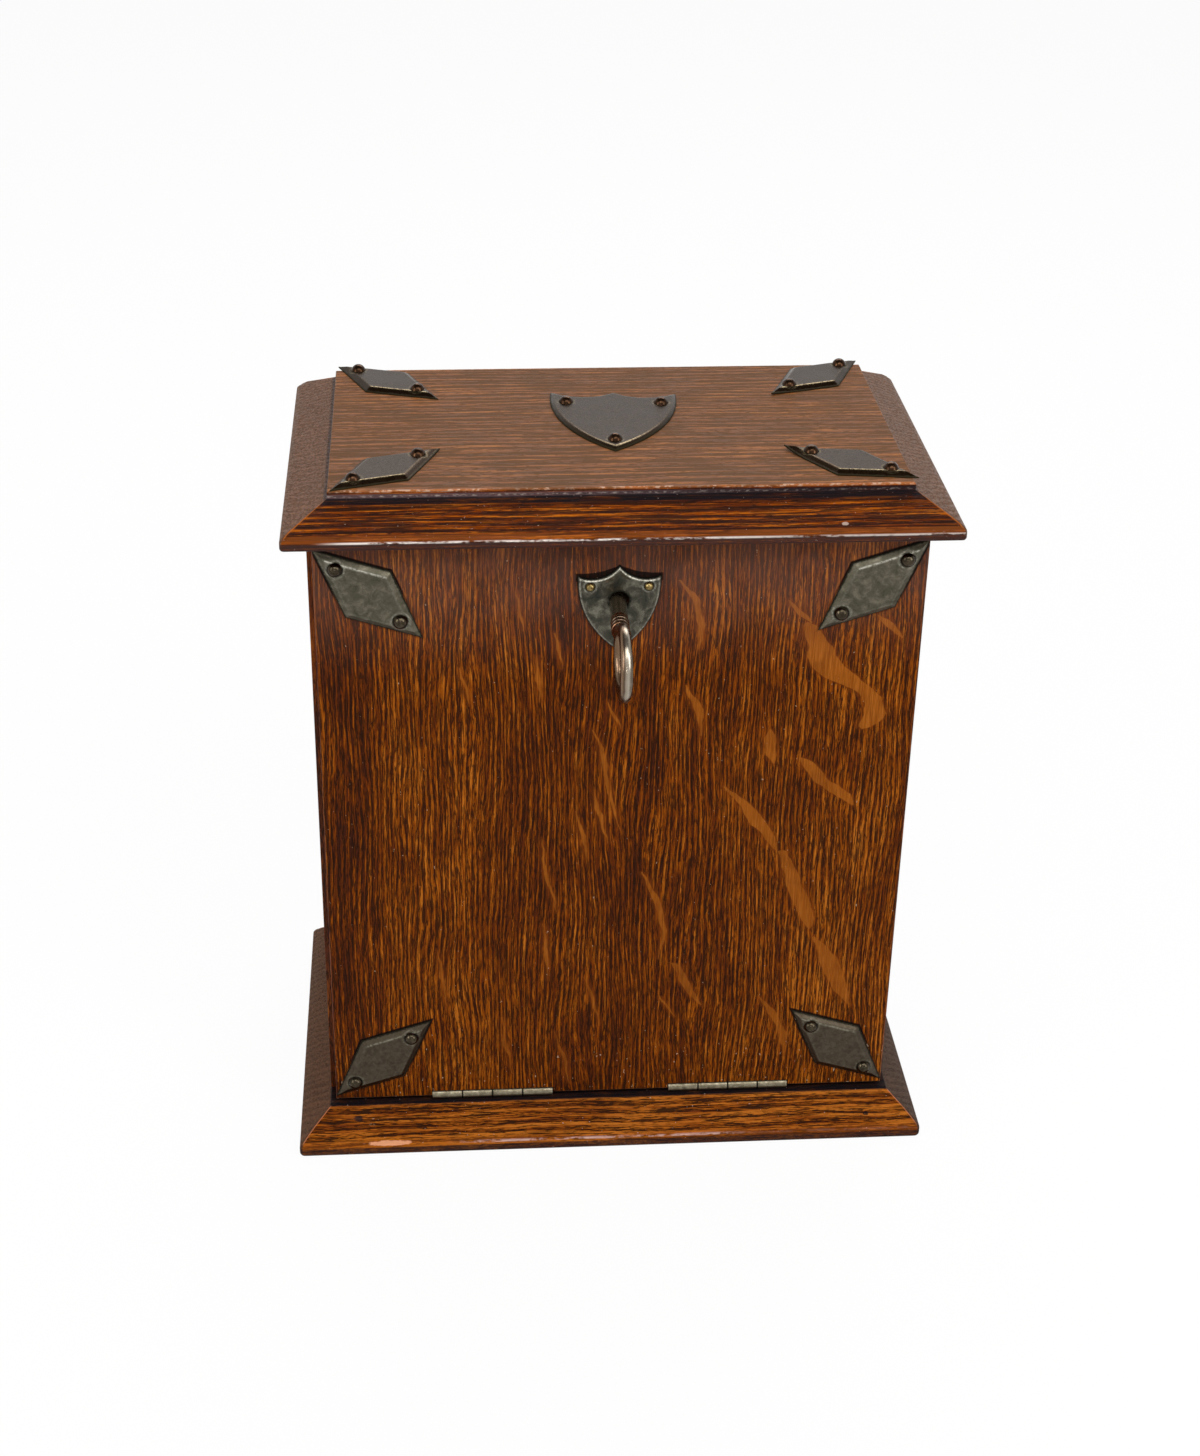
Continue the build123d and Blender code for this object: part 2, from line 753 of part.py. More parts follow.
for mount_name, frame in {**fall_mount_frames, **lid_mount_frames}.items():
    with BuildPart() as mount:
        with BuildSketch(frame):
            diamond(0)
        extrude(amount=mount_rim)
        with BuildSketch(frame.offset(mount_rim)):
            diamond(0)
        with BuildSketch(frame.offset(mount_height)):
            diamond(mount_bevel)
        loft()
        with BuildSketch(frame):
            diamond(mount_bevel + mount_sheet)
        extrude(amount=mount_height - mount_sheet, mode=Mode.SUBTRACT)
        bore_pins(fall_pin_places + lid_pin_places, pin_shank_radius, pin_depth)
    mount.part.label = mount_name
    export_step(mount.part, f"parts/{mount_name}.step")

with BuildPart() as fall_mount_pins:
    with Locations(*fall_pin_places):
        add(mount_pin)
fall_mount_pins.part.label = "fall_mount_pins"
export_step(fall_mount_pins.part, "parts/fall_mount_pins.step")

with BuildPart() as lid_mount_pins:
    with Locations(*lid_pin_places):
        add(mount_pin)
lid_mount_pins.part.label = "lid_mount_pins"
export_step(lid_mount_pins.part, "parts/lid_mount_pins.step")

# Lid shield: two dips in the top edge, sides curving in to a point
with BuildPart() as lid_shield:
    with BuildSketch(shield_frame) as shield_outline:
        with BuildLine():
            for side in (-1, 1):
                ThreePointArc(
                    (side * shield_half_width, 0),
                    (side * shield_half_width / 2, -shield_dip),
                    (0, 0),
                )
                ThreePointArc(
                    (side * shield_half_width, 0),
                    (side * shield_waist_half_width, -shield_waist_drop),
                    (0, -shield_drop),
                )
        make_face()
    extrude(amount=shield_height)
    chamfer(
        lid_shield.faces().sort_by(Axis.Z)[-1].edges(),
        length=shield_height / 2,
        length2=shield_bevel,
        reference=lid_shield.faces().sort_by(Axis.Z)[-1],
    )
    bore_pins(shield_pin_places, pin_shank_radius, pin_depth)
lid_shield.part.label = "lid_shield"
export_step(lid_shield.part, "parts/lid_shield.step")

with BuildPart() as lid_shield_pins:
    with Locations(*shield_pin_places):
        add(mount_pin)
lid_shield_pins.part.label = "lid_shield_pins"
export_step(lid_shield_pins.part, "parts/lid_shield_pins.step")

# Escutcheon: a small pointed shield round the keyhole
with BuildPart() as escutcheon:
    with BuildSketch(escutcheon_frame):
        with BuildLine():
            for side in (-1, 1):
                ThreePointArc(
                    (side * escutcheon_half_width, 0),
                    (side * escutcheon_dip_x, -escutcheon_dip),
                    (0, escutcheon_peak),
                )
                ThreePointArc(
                    (side * escutcheon_half_width, 0),
                    (side * escutcheon_waist_half_width, -escutcheon_waist_drop),
                    (0, -escutcheon_drop),
                )
        make_face()
    extrude(amount=escutcheon_height)
    chamfer(
        escutcheon.faces().sort_by(Axis.Y)[0].edges(),
        length=escutcheon_height / 2,
        length2=escutcheon_bevel,
        reference=escutcheon.faces().sort_by(Axis.Y)[0],
    )
    with BuildSketch(key_frame):
        keyhole()
    extrude(amount=escutcheon_height, mode=Mode.SUBTRACT)
    bore_pins(escutcheon_pin_places, small_pin_shank_radius, pin_grip)
escutcheon.part.label = "escutcheon"
export_step(escutcheon.part, "parts/escutcheon.step")

with BuildPart() as escutcheon_pins:
    with Locations(*escutcheon_pin_places):
        add(small_pin)
escutcheon_pins.part.label = "escutcheon_pins"
export_step(escutcheon_pins.part, "parts/escutcheon_pins.step")

# Lock: plate against the fall, cap over the works, and the pin that the hollow key turns on
with BuildPart() as lock_plate:
    with BuildSketch(Plane.XZ.offset(-plate_back)):
        with Locations((lock_offset, plate_bottom)):
            Rectangle(
                lock_plate_width, plate_top - plate_bottom, align=(Align.CENTER, Align.MIN)
            )
    extrude(amount=lock_plate_thickness)
    with BuildSketch(key_frame.offset(-fall_thickness)):
        keyhole()
    extrude(amount=-lock_plate_thickness, mode=Mode.SUBTRACT)
    sink_screws(
        lock_screw_places, screw_radius, screw_head_radius, screw_head_height, lock_screw_length
    )
lock_plate.part.label = "lock_plate"
export_step(lock_plate.part, "parts/lock_plate.step")

with BuildPart() as lock_cap:
    with BuildSketch(Plane.XZ.offset(-cap_back)):
        with Locations((lock_offset, (cap_bottom + cap_top) / 2)):
            Rectangle(lock_cap_width, cap_top - cap_bottom)
    extrude(amount=lock_cap_depth)
    with BuildSketch(Plane.XZ.offset(-cavity_back)):
        with Locations((lock_offset, (cap_bottom + cap_top) / 2)):
            Rectangle(
                lock_cap_width - 2 * lock_cap_wall, cap_top - cap_bottom - 2 * lock_cap_wall
            )
    extrude(amount=lock_cap_depth, mode=Mode.SUBTRACT)
    with Locations((lock_offset, cavity_back, cap_top)):
        Box(
            lock_cap_width - 2 * lock_cap_wall,
            cavity_back - prong_front + bolt_play,
            2 * (lock_cap_wall + bolt_play),
            align=(Align.CENTER, Align.MAX, Align.CENTER),
            mode=Mode.SUBTRACT,
        )
    with Locations(Location(Plane((lock_offset, cap_back, key_z), z_dir=(0, -1, 0)))):
        Cylinder(
            drill_pin_radius + rivet_fit, lock_cap_wall, align=BOTTOM_UP, mode=Mode.SUBTRACT
        )
lock_cap.part.label = "lock_cap"
export_step(lock_cap.part, "parts/lock_cap.step")

with BuildPart() as lock_drill_pin:
    with Locations(Location(Plane((lock_offset, cap_back, key_z), z_dir=(0, -1, 0)))):
        Cylinder(drill_pin_radius, drill_pin_reach, align=BOTTOM_UP)
lock_drill_pin.part.label = "lock_drill_pin"
export_step(lock_drill_pin.part, "parts/lock_drill_pin.step")

with BuildPart() as lock_screws:
    with Locations(*lock_screw_places):
        add(lock_screw)
lock_screws.part.label = "lock_screws"
export_step(lock_screws.part, "parts/lock_screws.step")

# Bolt: it slides to the left behind the key's bit, which pushes its tab; two stems carry the prongs
with BuildPart() as lock_bolt:
    with BuildSketch(Plane.XZ.offset(-bolt_back)):
        with Locations((lock_offset - bolt_left, tab_bottom + bolt_leg_rise)):
            Rectangle(
                bolt_left + bolt_right,
                bolt_shoulder - tab_bottom - bolt_leg_rise,
                align=(Align.MIN, Align.MIN),
            )
        with Locations((lock_offset - bolt_left, tab_bottom)):
            Rectangle(bolt_leg_width, bolt_leg_rise, align=(Align.MIN, Align.MIN))
        with Locations((lock_offset + bolt_throw / 2, key_z)):
            SlotOverall(
                bolt_throw + 2 * (drill_pin_radius + bolt_pin_play),
                2 * (drill_pin_radius + bolt_pin_play),
                mode=Mode.SUBTRACT,
            )
    extrude(amount=bolt_thickness)
    with BuildSketch(Plane.XZ.offset(-bolt_face)):
        with Locations((lock_offset - bolt_tab_start, tab_bottom)):
            Rectangle(bolt_tab_width, bolt_tab_height, align=(Align.MAX, Align.MIN))
    extrude(amount=bolt_face - bolt_front)
    for staple_left in staple_lefts:
        prong_left = lock_offset + staple_left + staple_thickness + staple_gap
        with BuildSketch(Plane.XZ.offset(-bolt_back)):
            with Locations((prong_left + prong_length, bolt_shoulder)):
                Rectangle(
                    stem_width,
                    prong_bottom + prong_height - bolt_shoulder,
                    align=(Align.MIN, Align.MIN),
                )
        extrude(amount=bolt_back - prong_front)
        with BuildSketch(Plane.XZ.offset(-prong_front - prong_thickness)):
            with Locations((prong_left, prong_bottom)):
                Rectangle(prong_length, prong_height, align=(Align.MIN, Align.MIN))
        extrude(amount=prong_thickness)
lock_bolt.part.label = "lock_bolt"
export_step(lock_bolt.part, "parts/lock_bolt.step")

# Link plate let into the lid's underside, and its two staples, which hang behind the lock's plate
tenon_thickness = staple_thickness - 2 * tenon_shoulder
tenon_depth = staple_back - staple_front - 2 * tenon_shoulder
staples = dict(zip(("link_staple_left", "link_staple_right"), staple_lefts))
with BuildPart() as link_plate:
    with BuildSketch(Plane.XY.offset(lid_bottom)):
        with Locations((lock_offset, link_middle_y)):
            Rectangle(link_plate_length, link_plate_width)
    extrude(amount=link_plate_thickness)
    sink_screws(
        link_screw_places, screw_radius, screw_head_radius, screw_head_height, lock_screw_length
    )
    for staple_left in staple_lefts:
        with Locations((lock_offset + staple_left + staple_thickness / 2, link_middle_y, lid_bottom)):
            Box(
                tenon_thickness + 2 * rivet_fit,
                tenon_depth + 2 * rivet_fit,
                2 * link_plate_thickness,
                mode=Mode.SUBTRACT,
            )
link_plate.part.label = "link_plate"
export_step(link_plate.part, "parts/link_plate.step")

for staple_name, staple_left in staples.items():
    with BuildPart() as staple:
        with BuildSketch(Plane.XY.offset(staple_bottom)):
            with Locations((lock_offset + staple_left + staple_thickness / 2, link_middle_y)):
                Rectangle(staple_thickness, staple_back - staple_front)
        extrude(amount=staple_drop)
        with BuildSketch(Plane.XY.offset(lid_bottom)):
            with Locations((lock_offset + staple_left + staple_thickness / 2, link_middle_y)):
                Rectangle(tenon_thickness, tenon_depth)
        extrude(amount=link_plate_thickness)
        with Locations((lock_offset + staple_left, eye_front, staple_bottom + staple_foot)):
            Box(
                staple_thickness,
                eye_back - eye_front,
                prong_height + 2 * eye_gap,
                align=(Align.MIN, Align.MIN, Align.MIN),
                mode=Mode.SUBTRACT,
            )
    staple.part.label = staple_name
    export_step(staple.part, f"parts/{staple_name}.step")

with BuildPart() as link_screws:
    with Locations(*link_screw_places):
        add(lock_screw)
link_screws.part.label = "link_screws"
export_step(link_screws.part, "parts/link_screws.step")

# Key: hollow shank with three beads, a ring bow in front and a plain bit behind
key_tip = front_y - bit_back
key_neck = key_bow_distance - key_bow_radius
with BuildPart() as key:
    with BuildSketch(key_frame.offset(key_tip)):
        Circle(key_shank_radius)
    extrude(amount=key_bead_start - key_tip + key_bead_count * key_bead_pitch)
    with BuildSketch(key_frame.offset(key_bead_start + key_bead_count * key_bead_pitch)):
        Circle(key_shank_radius)
    with BuildSketch(key_frame.offset(key_neck)):
        Circle(key_neck_radius)
    loft()
    for bead in range(key_bead_count):
        with Locations(key_frame.offset(key_bead_start + bead * key_bead_pitch)):
            Torus(key_shank_radius, key_bead_radius)
    with Locations(key_frame.offset(key_bow_distance)):
        Torus(key_bow_radius, key_bow_wire, rotation=(0, 90, 0))
    with BuildSketch(key_frame.offset(key_tip)):
        with Locations((0, -key_bit_reach / 2)):
            Rectangle(key_bit_thickness, key_bit_reach)
    extrude(amount=key_bit_length)
    with BuildSketch(key_frame.offset(key_tip)):
        Circle(key_bore_radius)
    extrude(amount=key_bore_depth, mode=Mode.SUBTRACT)
key.part.label = "key"
export_step(key.part, "parts/key.step")
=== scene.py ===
import json
from math import atan2, cos, exp, hypot, pi, radians, sin, sqrt
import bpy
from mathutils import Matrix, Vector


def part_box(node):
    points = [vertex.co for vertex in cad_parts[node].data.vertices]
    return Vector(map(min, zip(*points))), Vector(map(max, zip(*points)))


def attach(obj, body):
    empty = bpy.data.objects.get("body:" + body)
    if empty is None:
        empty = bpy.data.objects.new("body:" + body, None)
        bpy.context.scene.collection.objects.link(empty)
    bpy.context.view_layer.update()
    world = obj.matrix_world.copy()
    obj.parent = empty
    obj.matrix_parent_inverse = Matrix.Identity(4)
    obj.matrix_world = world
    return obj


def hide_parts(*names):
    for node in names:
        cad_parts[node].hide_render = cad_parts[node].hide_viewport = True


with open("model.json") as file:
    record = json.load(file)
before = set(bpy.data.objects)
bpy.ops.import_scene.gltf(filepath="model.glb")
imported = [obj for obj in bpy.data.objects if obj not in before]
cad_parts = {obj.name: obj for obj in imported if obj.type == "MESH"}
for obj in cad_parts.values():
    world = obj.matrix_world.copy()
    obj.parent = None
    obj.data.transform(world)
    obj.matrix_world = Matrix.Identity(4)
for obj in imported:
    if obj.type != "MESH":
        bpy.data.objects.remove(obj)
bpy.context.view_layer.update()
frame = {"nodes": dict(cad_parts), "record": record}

from types import SimpleNamespace

import bmesh
import bpy
import numpy as np
from mathutils import Matrix, Vector, noise

MM = 0.001
nodes = frame["nodes"]
scene = bpy.context.scene

# ---------------- places and sizes, in millimetres
fall_low, fall_high = (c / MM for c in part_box("fall_panel"))
FRONT, FALL_HIGH = fall_low.y, fall_high.z  # the fall's front face and its top edge
KEY_X, KEY_Z = -1.2, 248.2  # the keyhole's middle
KEY_LEAN, KEY_BEND = 2.3, -12.4  # degrees, and where the lean starts, measured out from the fall's front
LONG, SHORT = 27.2, 12.7  # from a diamond mount's middle to its tips
MOUNT_TURN = 43  # degrees
MOUNT_X, _, MOUNT_TOP_Z = sum(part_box("fall_mount_top_right"), Vector()) / 2 / MM
MOUNT_FOOT_Z = sum(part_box("fall_mount_foot_right"), Vector()).z / 2 / MM


# ---------------- small tools
def srgb(*levels):
    """Linear colour from one written as 0-255 sRGB."""
    shares = [level / 255 for level in levels]
    return (*(c / 12.92 if c <= 0.04045 else ((c + 0.055) / 1.055) ** 2.4 for c in shares), 1.0)


class Nodes:
    """Short calls that add shader nodes to one tree."""

    def __init__(self, tree):
        self.tree = tree
        tree.nodes.clear()

    def put(self, socket, value):
        """Links or sets a socket. None leaves it as it is, and three numbers for a colour are 0-255 sRGB."""
        if isinstance(value, bpy.types.NodeSocket):
            self.tree.links.new(value, socket)
        elif value is not None:
            plain = socket.type != "RGBA" or len(value) == 4
            socket.default_value = value if plain else srgb(*value)

    def add(self, kind, *values, **props):
        node = self.tree.nodes.new("ShaderNode" + kind)
        for name, value in props.items():
            setattr(node, name, value)
        for socket, value in zip(node.inputs, values):
            self.put(socket, value)
        return node

    def math(self, op, *values, clamp=False):
        return self.add("Math", *values, operation=op, use_clamp=clamp).outputs[0]

    def chain(self, op, total, *values):
        for value in values:
            total = self.math(op, total, value)
        return total

    def plus(self, *values):
        return self.chain("ADD", *values)

    def times(self, *values):
        return self.chain("MULTIPLY", *values)

    def most(self, *values):
        return self.chain("MAXIMUM", *values)

    def minus(self, a, b):
        return self.math("SUBTRACT", a, b)

    def scaled(self, value, factor, shift):
        """value times factor, plus shift."""
        return self.math("MULTIPLY_ADD", value, factor, shift)

    def absolute(self, value):
        return self.math("ABSOLUTE", value)

    def hypot(self, a, b):
        return self.math("SQRT", self.plus(self.times(a, a), self.times(b, b)))

    def vector(self, op, *values, scale=None):
        node = self.add("VectorMath", *values, operation=op)
        if scale is not None:
            self.put(node.inputs["Scale"], scale)
        return node.outputs["Value" if op == "LENGTH" else "Vector"]

    def split(self, vector):
        return self.add("SeparateXYZ", vector).outputs

    def join(self, x, y, z):
        return self.add("CombineXYZ", x, y, z).outputs[0]

    def noise(self, vector, detail=2.0, rough=0.5, warp=0.0):
        node = self.add("TexNoise")
        self.put(node.inputs["Vector"], vector)
        for socket, value in (("Scale", 1.0), ("Detail", detail), ("Roughness", rough), ("Distortion", warp)):
            node.inputs[socket].default_value = value
        return node.outputs[0]

    def span(self, value, low, high, to_low=0.0, to_high=1.0, smooth=True):
        """value from low..high to to_low..to_high, held at both ends."""
        kind = "SMOOTHSTEP" if smooth else "LINEAR"
        return self.add("MapRange", value, low, high, to_low, to_high, interpolation_type=kind).outputs[0]

    def near(self, value, centre, width):
        """1 at centre, falling to 0 at width away."""
        return self.span(self.absolute(self.minus(value, centre)), width, 0.0)

    def ramp(self, value, *stops):
        node = self.add("ValToRGB", value)
        marks = node.color_ramp.elements
        while len(marks) < len(stops):
            marks.new(0.5)
        for mark, (at, colour) in zip(marks, stops):
            mark.position = at
            mark.color = srgb(*colour)
        return node.outputs[0]

    def mix(self, factor, a, b, blend="MIX"):
        node = self.add("Mix", data_type="RGBA", blend_type=blend)
        for index, value in ((0, factor), (6, a), (7, b)):
            self.put(node.inputs[index], value)
        return node.outputs[2]

    def curve(self, value, points, soft=True):
        node = self.add("FloatCurve", 1.0, value)
        line = node.mapping.curves[0]
        node.mapping.use_clip = False
        ends = list(line.points)
        ends[0].location, ends[1].location = points[0], points[-1]
        for point in points[1:-1]:
            line.points.new(*point)
        for point in line.points:
            point.handle_type = "AUTO_CLAMPED" if soft else "VECTOR"
        node.mapping.update()
        return node.outputs[0]


class Finish(Nodes):
    """A material. Its place is in millimetres, from the piece's own coordinates."""

    def __init__(self, name, **sockets):
        self.mat = bpy.data.materials.new(name)
        self.mat.use_nodes = True
        super().__init__(self.mat.node_tree)
        self.shader = self.add("BsdfPrincipled")
        self.add("OutputMaterial", self.shader.outputs[0])
        for socket, value in sockets.items():
            self.shader.inputs[socket.replace("_", " ")].default_value = value
        self.place = self.vector("SCALE", self.add("TexCoord").outputs["Object"], scale=1 / MM)

    def cloud(self, scale, *settings):
        """Noise in patches of about 1 / scale millimetres, scale one number or three."""
        scale = scale if isinstance(scale, tuple) else (scale,) * 3
        return self.noise(self.vector("MULTIPLY", self.place, scale), *settings)

    def end_of(self, axis):
        """1 on faces that look along an axis, 0 on those beside it."""
        facing = self.split(self.add("TexCoord").outputs["Normal"])
        return self.span(self.absolute(facing[axis]), *END_FACING)

    def show(self, colour, rough, height, depth, strength):
        """Colour, roughness, and a bump from a height that runs 0 to 1, depth in millimetres."""
        bump = self.add("Bump")
        for node, socket, value in (
                (bump, "Strength", strength), (bump, "Distance", depth * MM), (bump, "Height", height),
                (self.shader, "Base Color", colour), (self.shader, "Roughness", rough),
                (self.shader, "Normal", bump.outputs[0])):
            self.put(node.inputs[socket], value)
        return self


def paint(finish, *names):
    for name in names:
        slots = nodes[name].data.materials
        slots.clear()
        slots.append(finish.mat)


def add_object(name, mesh, *materials):
    """A new object from a bmesh, which is freed."""
    data = bpy.data.meshes.new(name)
    mesh.to_mesh(data)
    mesh.free()
    for material in materials:
        data.materials.append(material)
    made = bpy.data.objects.new(name, data)
    scene.collection.objects.link(made)
    return made


def around(count):
    """Each index of a closed row of points with the next one."""
    return ((i, (i + 1) % count) for i in range(count))


# ---------------- oak
DARK, MID, LIGHT, PALE = (56, 23, 10), (91, 38, 1), (130, 65, 3), (162, 93, 24)
PORE = (28, 14, 5)
END_DARK, END_MID, END_LIGHT = (38, 24, 16), (86, 61, 46), (106, 78, 59)
BOARD_SHIFT = (37.0, 11.0, 5.0)  # from one board's pattern to the next: along, across, deep
END_FACING = (0.25, 0.42)  # a normal's share along an axis, from a face beside it to one across it
# Noise drawn out along the grain: length and width in millimetres, detail, roughness, seed
SWAY, RIPPLE, UNEVEN = (90, 30, 1, 0.5, 3.3), (24, 9, 2, 0.5, 7.7), (200, 5, 1, 0.5, 4.1)
BROAD, PITS = (150, 9, 2, 0.55, 5.1), (3.6, 0.30, 2, 0.5, 2.4)
BLOTCH_SCALE, SPECK_SCALE = 0.022, 1.3


def oak(name, along, across, offset=0.0, ring=2.0, contrast=1.0, lift=0.0, dash=None, pores=1.0, level=0.2,
        rough=0.42, pith=None, extra=None, wave=1.0, reach=1.0, end_shade=0.75):
    """Stained oak, solid through the board: along is the grain's axis and across the one the rings follow."""
    f = Finish(name, Specular_IOR_Level=level)
    xyz = f.split(f.place)
    third = ({0, 1, 2} - {along, across}).pop()
    grain, out, deep = (
        f.plus(xyz[axis], offset * shift) for axis, shift in zip((along, across, third), BOARD_SHIFT))
    if pith:
        out = f.hypot(f.minus(xyz[across], pith[0]), f.minus(xyz[third], pith[1]))

    def streak(long, wide, detail, rough, seed, across=out):
        place = f.join(f.scaled(grain, 1 / long, seed * 1.7), f.scaled(across, 1 / wide, seed),
                       f.math("DIVIDE", deep, wide))
        return f.noise(place, detail, rough)

    sway = f.times(f.minus(streak(*SWAY), 0.5), 9.0 * wave)
    ripple = f.times(f.minus(streak(*RIPPLE), 0.5), 1.6 * wave)
    bent = f.plus(out, f.plus(sway, ripple))
    uneven = f.times(f.minus(streak(*UNEVEN, bent), 0.5), 3.0)
    turn = f.math("FRACT", f.math("DIVIDE", f.plus(bent, uneven), ring))
    band = f.minus(f.span(turn, 0.0, 0.2), f.span(turn, 0.35, 0.95))
    lines = streak(34 * reach, 0.80, 3, 0.62, 6.6, bent)
    fibre = streak(8 * reach, 0.36, 3, 0.65, 1.9, bent)
    tone = f.scaled(band, -0.20 * contrast, 0.56 + lift)
    for part, half, swing in ((lines, 0.20, 0.40 * contrast), (fibre, 0.25, 0.27 * contrast),
                              (streak(*BROAD, bent), 0.2, 0.13), (f.cloud(BLOTCH_SCALE, 2), 0.2, 0.09)):
        tone = f.plus(tone, f.span(part, 0.5 - half, 0.5 + half, -swing, swing, False))
    if extra:
        tone = extra(f, xyz, tone, "tone")
    colour = f.ramp(tone, (0.0, DARK), (0.40, MID), (0.74, LIGHT), (1.0, PALE))
    pit = f.span(f.scaled(band, 0.11, streak(*PITS, bent)), 0.58, 0.66)
    if dash:
        long, wide, low = dash
        slot = f.scaled(band, 0.07, streak(long, wide, 2, 0.45, 8.8, bent))
        pit = f.most(pit, f.span(slot, low, low + 0.035))
    colour = f.mix(f.times(pit, 0.80 * pores), colour, PORE)
    end = f.end_of(along)
    shade = f.scaled(end, end_shade - 1.0, 1.0)
    speck = f.cloud(SPECK_SCALE, 3, 0.7)
    plain = f.ramp(speck, (0.30, END_DARK), (0.48, END_MID), (0.66, END_LIGHT))
    colour = f.mix(f.times(end, 0.85), colour, plain)
    colour = f.mix(1.0, colour, f.join(shade, shade, shade), "MULTIPLY")
    if extra:
        colour = extra(f, xyz, colour, "colour")
    gloss = f.plus(f.times(pit, 0.25), f.span(fibre, 0.2, 0.8, rough - 0.06, rough + 0.10))
    return f.show(colour, gloss, f.minus(f.times(lines, 0.45), pit), 0.10, 0.8)


# ---------------- the fall's ray flecks and marks
# Tracks of flecks, each fleck a row of (height z, middle x, half-width) from the top down, in millimetres
FLECKS = (
    (((237, 69.5, 0.3), (236, 70.5, 2.4), (233, 72.4, 3.1), (227, 75.1, 4.7), (222.6, 76.1, 5.7),
     (218, 78.8, 6.2), (214.3, 82.9, 6.6), (210.8, 87.9, 5.2), (207.3, 93.6, 3.9), (203.8, 96.8, 3.7),
     (200, 98.4, 3.7), (196.7, 98.9, 4.3), (193.8, 97.1, 4.2), (191.4, 95.3, 2.6), (190, 93.8, 0.3)),
     ((178, 71, 0.2), (175, 74, 2.6), (168, 79, 3.2), (161, 88, 3.4), (155, 93, 0.2)), ((135, 66.5, 1.6),
     (126, 69, 2.8), (113, 74, 3.3), (102, 78, 2.8), (97, 79, 0.2)), ((93.5, 81, 0.5), (86, 86, 3.0),
     (76, 90, 3.9), (66, 94, 3.0), (58, 98, 0.2))),
    (((256, 21, 0.3), (248, 27, 1.2), (236, 30.5, 1.3), (226, 29.5, 0.2)), ((211, 25, 0.3),
     (200, 30.5, 1.8), (188, 32, 0.2)), ((166, 41.5, 0.3), (157, 50, 2.4), (148, 56, 3.0),
     (141, 61, 2.2), (135, 64, 0.2)), ((127, 10, 0.3), (114, 16.5, 1.5), (98, 20.3, 1.2), (84, 18, 0.2)),
     ((82, 25, 1.2), (73, 28.5, 2.2), (64, 34, 1.2), (60, 37.5, 0.1))),
    (((247, 62, 0.3), (240, 68, 1.6), (236, 72, 0.2)), ((191, 58, 0.2), (187, 58.8, 2.3), (180, 59, 2.5),
     (175, 60.3, 0.2)), ((66, 19, 0.3), (60, 22.5, 0.8), (55, 26, 0.1))),
    (((240, 96, 0.3), (235, 101, 2.2), (229, 107, 0.3)), ((64.5, 60, 0.3), (56, 66, 1.8),
     (45, 71.3, 1.6), (33, 72, 0.1))),
    (((253, -40, 0.2), (244, -38, 0.8), (235, -36.5, 0.1)), ((205, -5, 0.2), (198, -2, 0.8),
     (192, 1, 0.1)), ((166, -9, 0.1), (154, -7, 0.8), (140, -3.4, 0.1)), ((77, -12, 0.1), (64, -8, 0.9),
     (51, -5, 0.1))),
    (((235, -25, 0.2), (227, -23.5, 0.8), (219, -21.8, 0.1)), ((193, -11, 0.1), (184, -6.5, 0.8),
     (164, -3.4, 1.0), (145, 1.7, 0.1)), ((104, -28, 0.1), (90, -27.4, 0.8), (75, -27, 0.1)),
     ((50, -24, 0.1), (36, -20, 0.8), (22, -17, 0.1))),
    (((225, -32, 0.1), (215, -31, 0.8), (205, -30.4, 0.1)), ((156, -16.5, 0.2), (145, -13.5, 0.9),
     (133, -11, 0.1)), ((58, -45.6, 0.1), (43, -43.5, 0.8), (28, -41, 0.1))),
    (((221, -60.5, 0.1), (212, -58.5, 0.8), (204, -56.5, 0.1)), ((144, -30, 0.1), (126, -27, 0.9),
     (108, -23.5, 0.1)), ((92, -71, 0.1), (77, -69, 0.8), (61, -67, 0.1))),
)
CURVE_SPAN, HALF_SPAN = 300.0, 20.0  # what a track's curves run over: height and middle, and half-width
FLECK_GAP, GAP_WIDTH = 0.8, -2.0  # between two flecks of a track the half-width goes below 0
FLECK_LOW, FLECK_MID, FLECK_PALE = (108, 53, 8), (138, 75, 16), (162, 96, 34)
FLECK_RIM, HAZE, EDGE_SHADE_AND_DIRT, NICK = (106, 50, 8), (108, 80, 70), (10, 7, 6), (176, 150, 126)
# The fall's tone from left to right: (place, tone), both as shares
ACROSS_SPAN, TONE_MIDDLE = 240, 0.48
TONE_ACROSS = ((0.02, 0.4), (0.07, 0.36), (0.12, 0.5), (0.22, 0.56), (0.33, 0.49), (0.42, 0.41), (0.52, 0.37),
               (0.6, 0.42), (0.75, 0.5), (0.92, 0.56), (0.98, 0.5))
# The top edge of the escutcheon's outline: (share of CREST_WIDE from its middle, share of CREST_HIGH)
CREST_WIDE, CREST_HIGH, CREST_END = 40.0, 27.6, 16.6
CREST = ((0.0, 0.472), (0.08, 0.432), (0.16, 0.392), (0.25, 0.371), (0.32, 0.362), (0.4, 0.364), (1.0, 0.364))


def fall_tone(f, xyz, value):
    """Darkens the fall in bands, paints shade under the lid, and lights its low right."""
    shade = f.curve(f.scaled(xyz[0], 1 / ACROSS_SPAN, 0.5), TONE_ACROSS)
    # Painted shade: darker towards the top, under the lid's overhang
    top = f.span(xyz[2], FALL_HIGH - 26, FALL_HIGH, 0.0, -0.04)
    low_right = f.times(f.span(xyz[2], 110.0, 40.0, 0.0, 0.08), f.span(xyz[0], 20.0, 80.0))
    return f.plus(value, low_right, f.plus(shade, -TONE_MIDDLE, top))


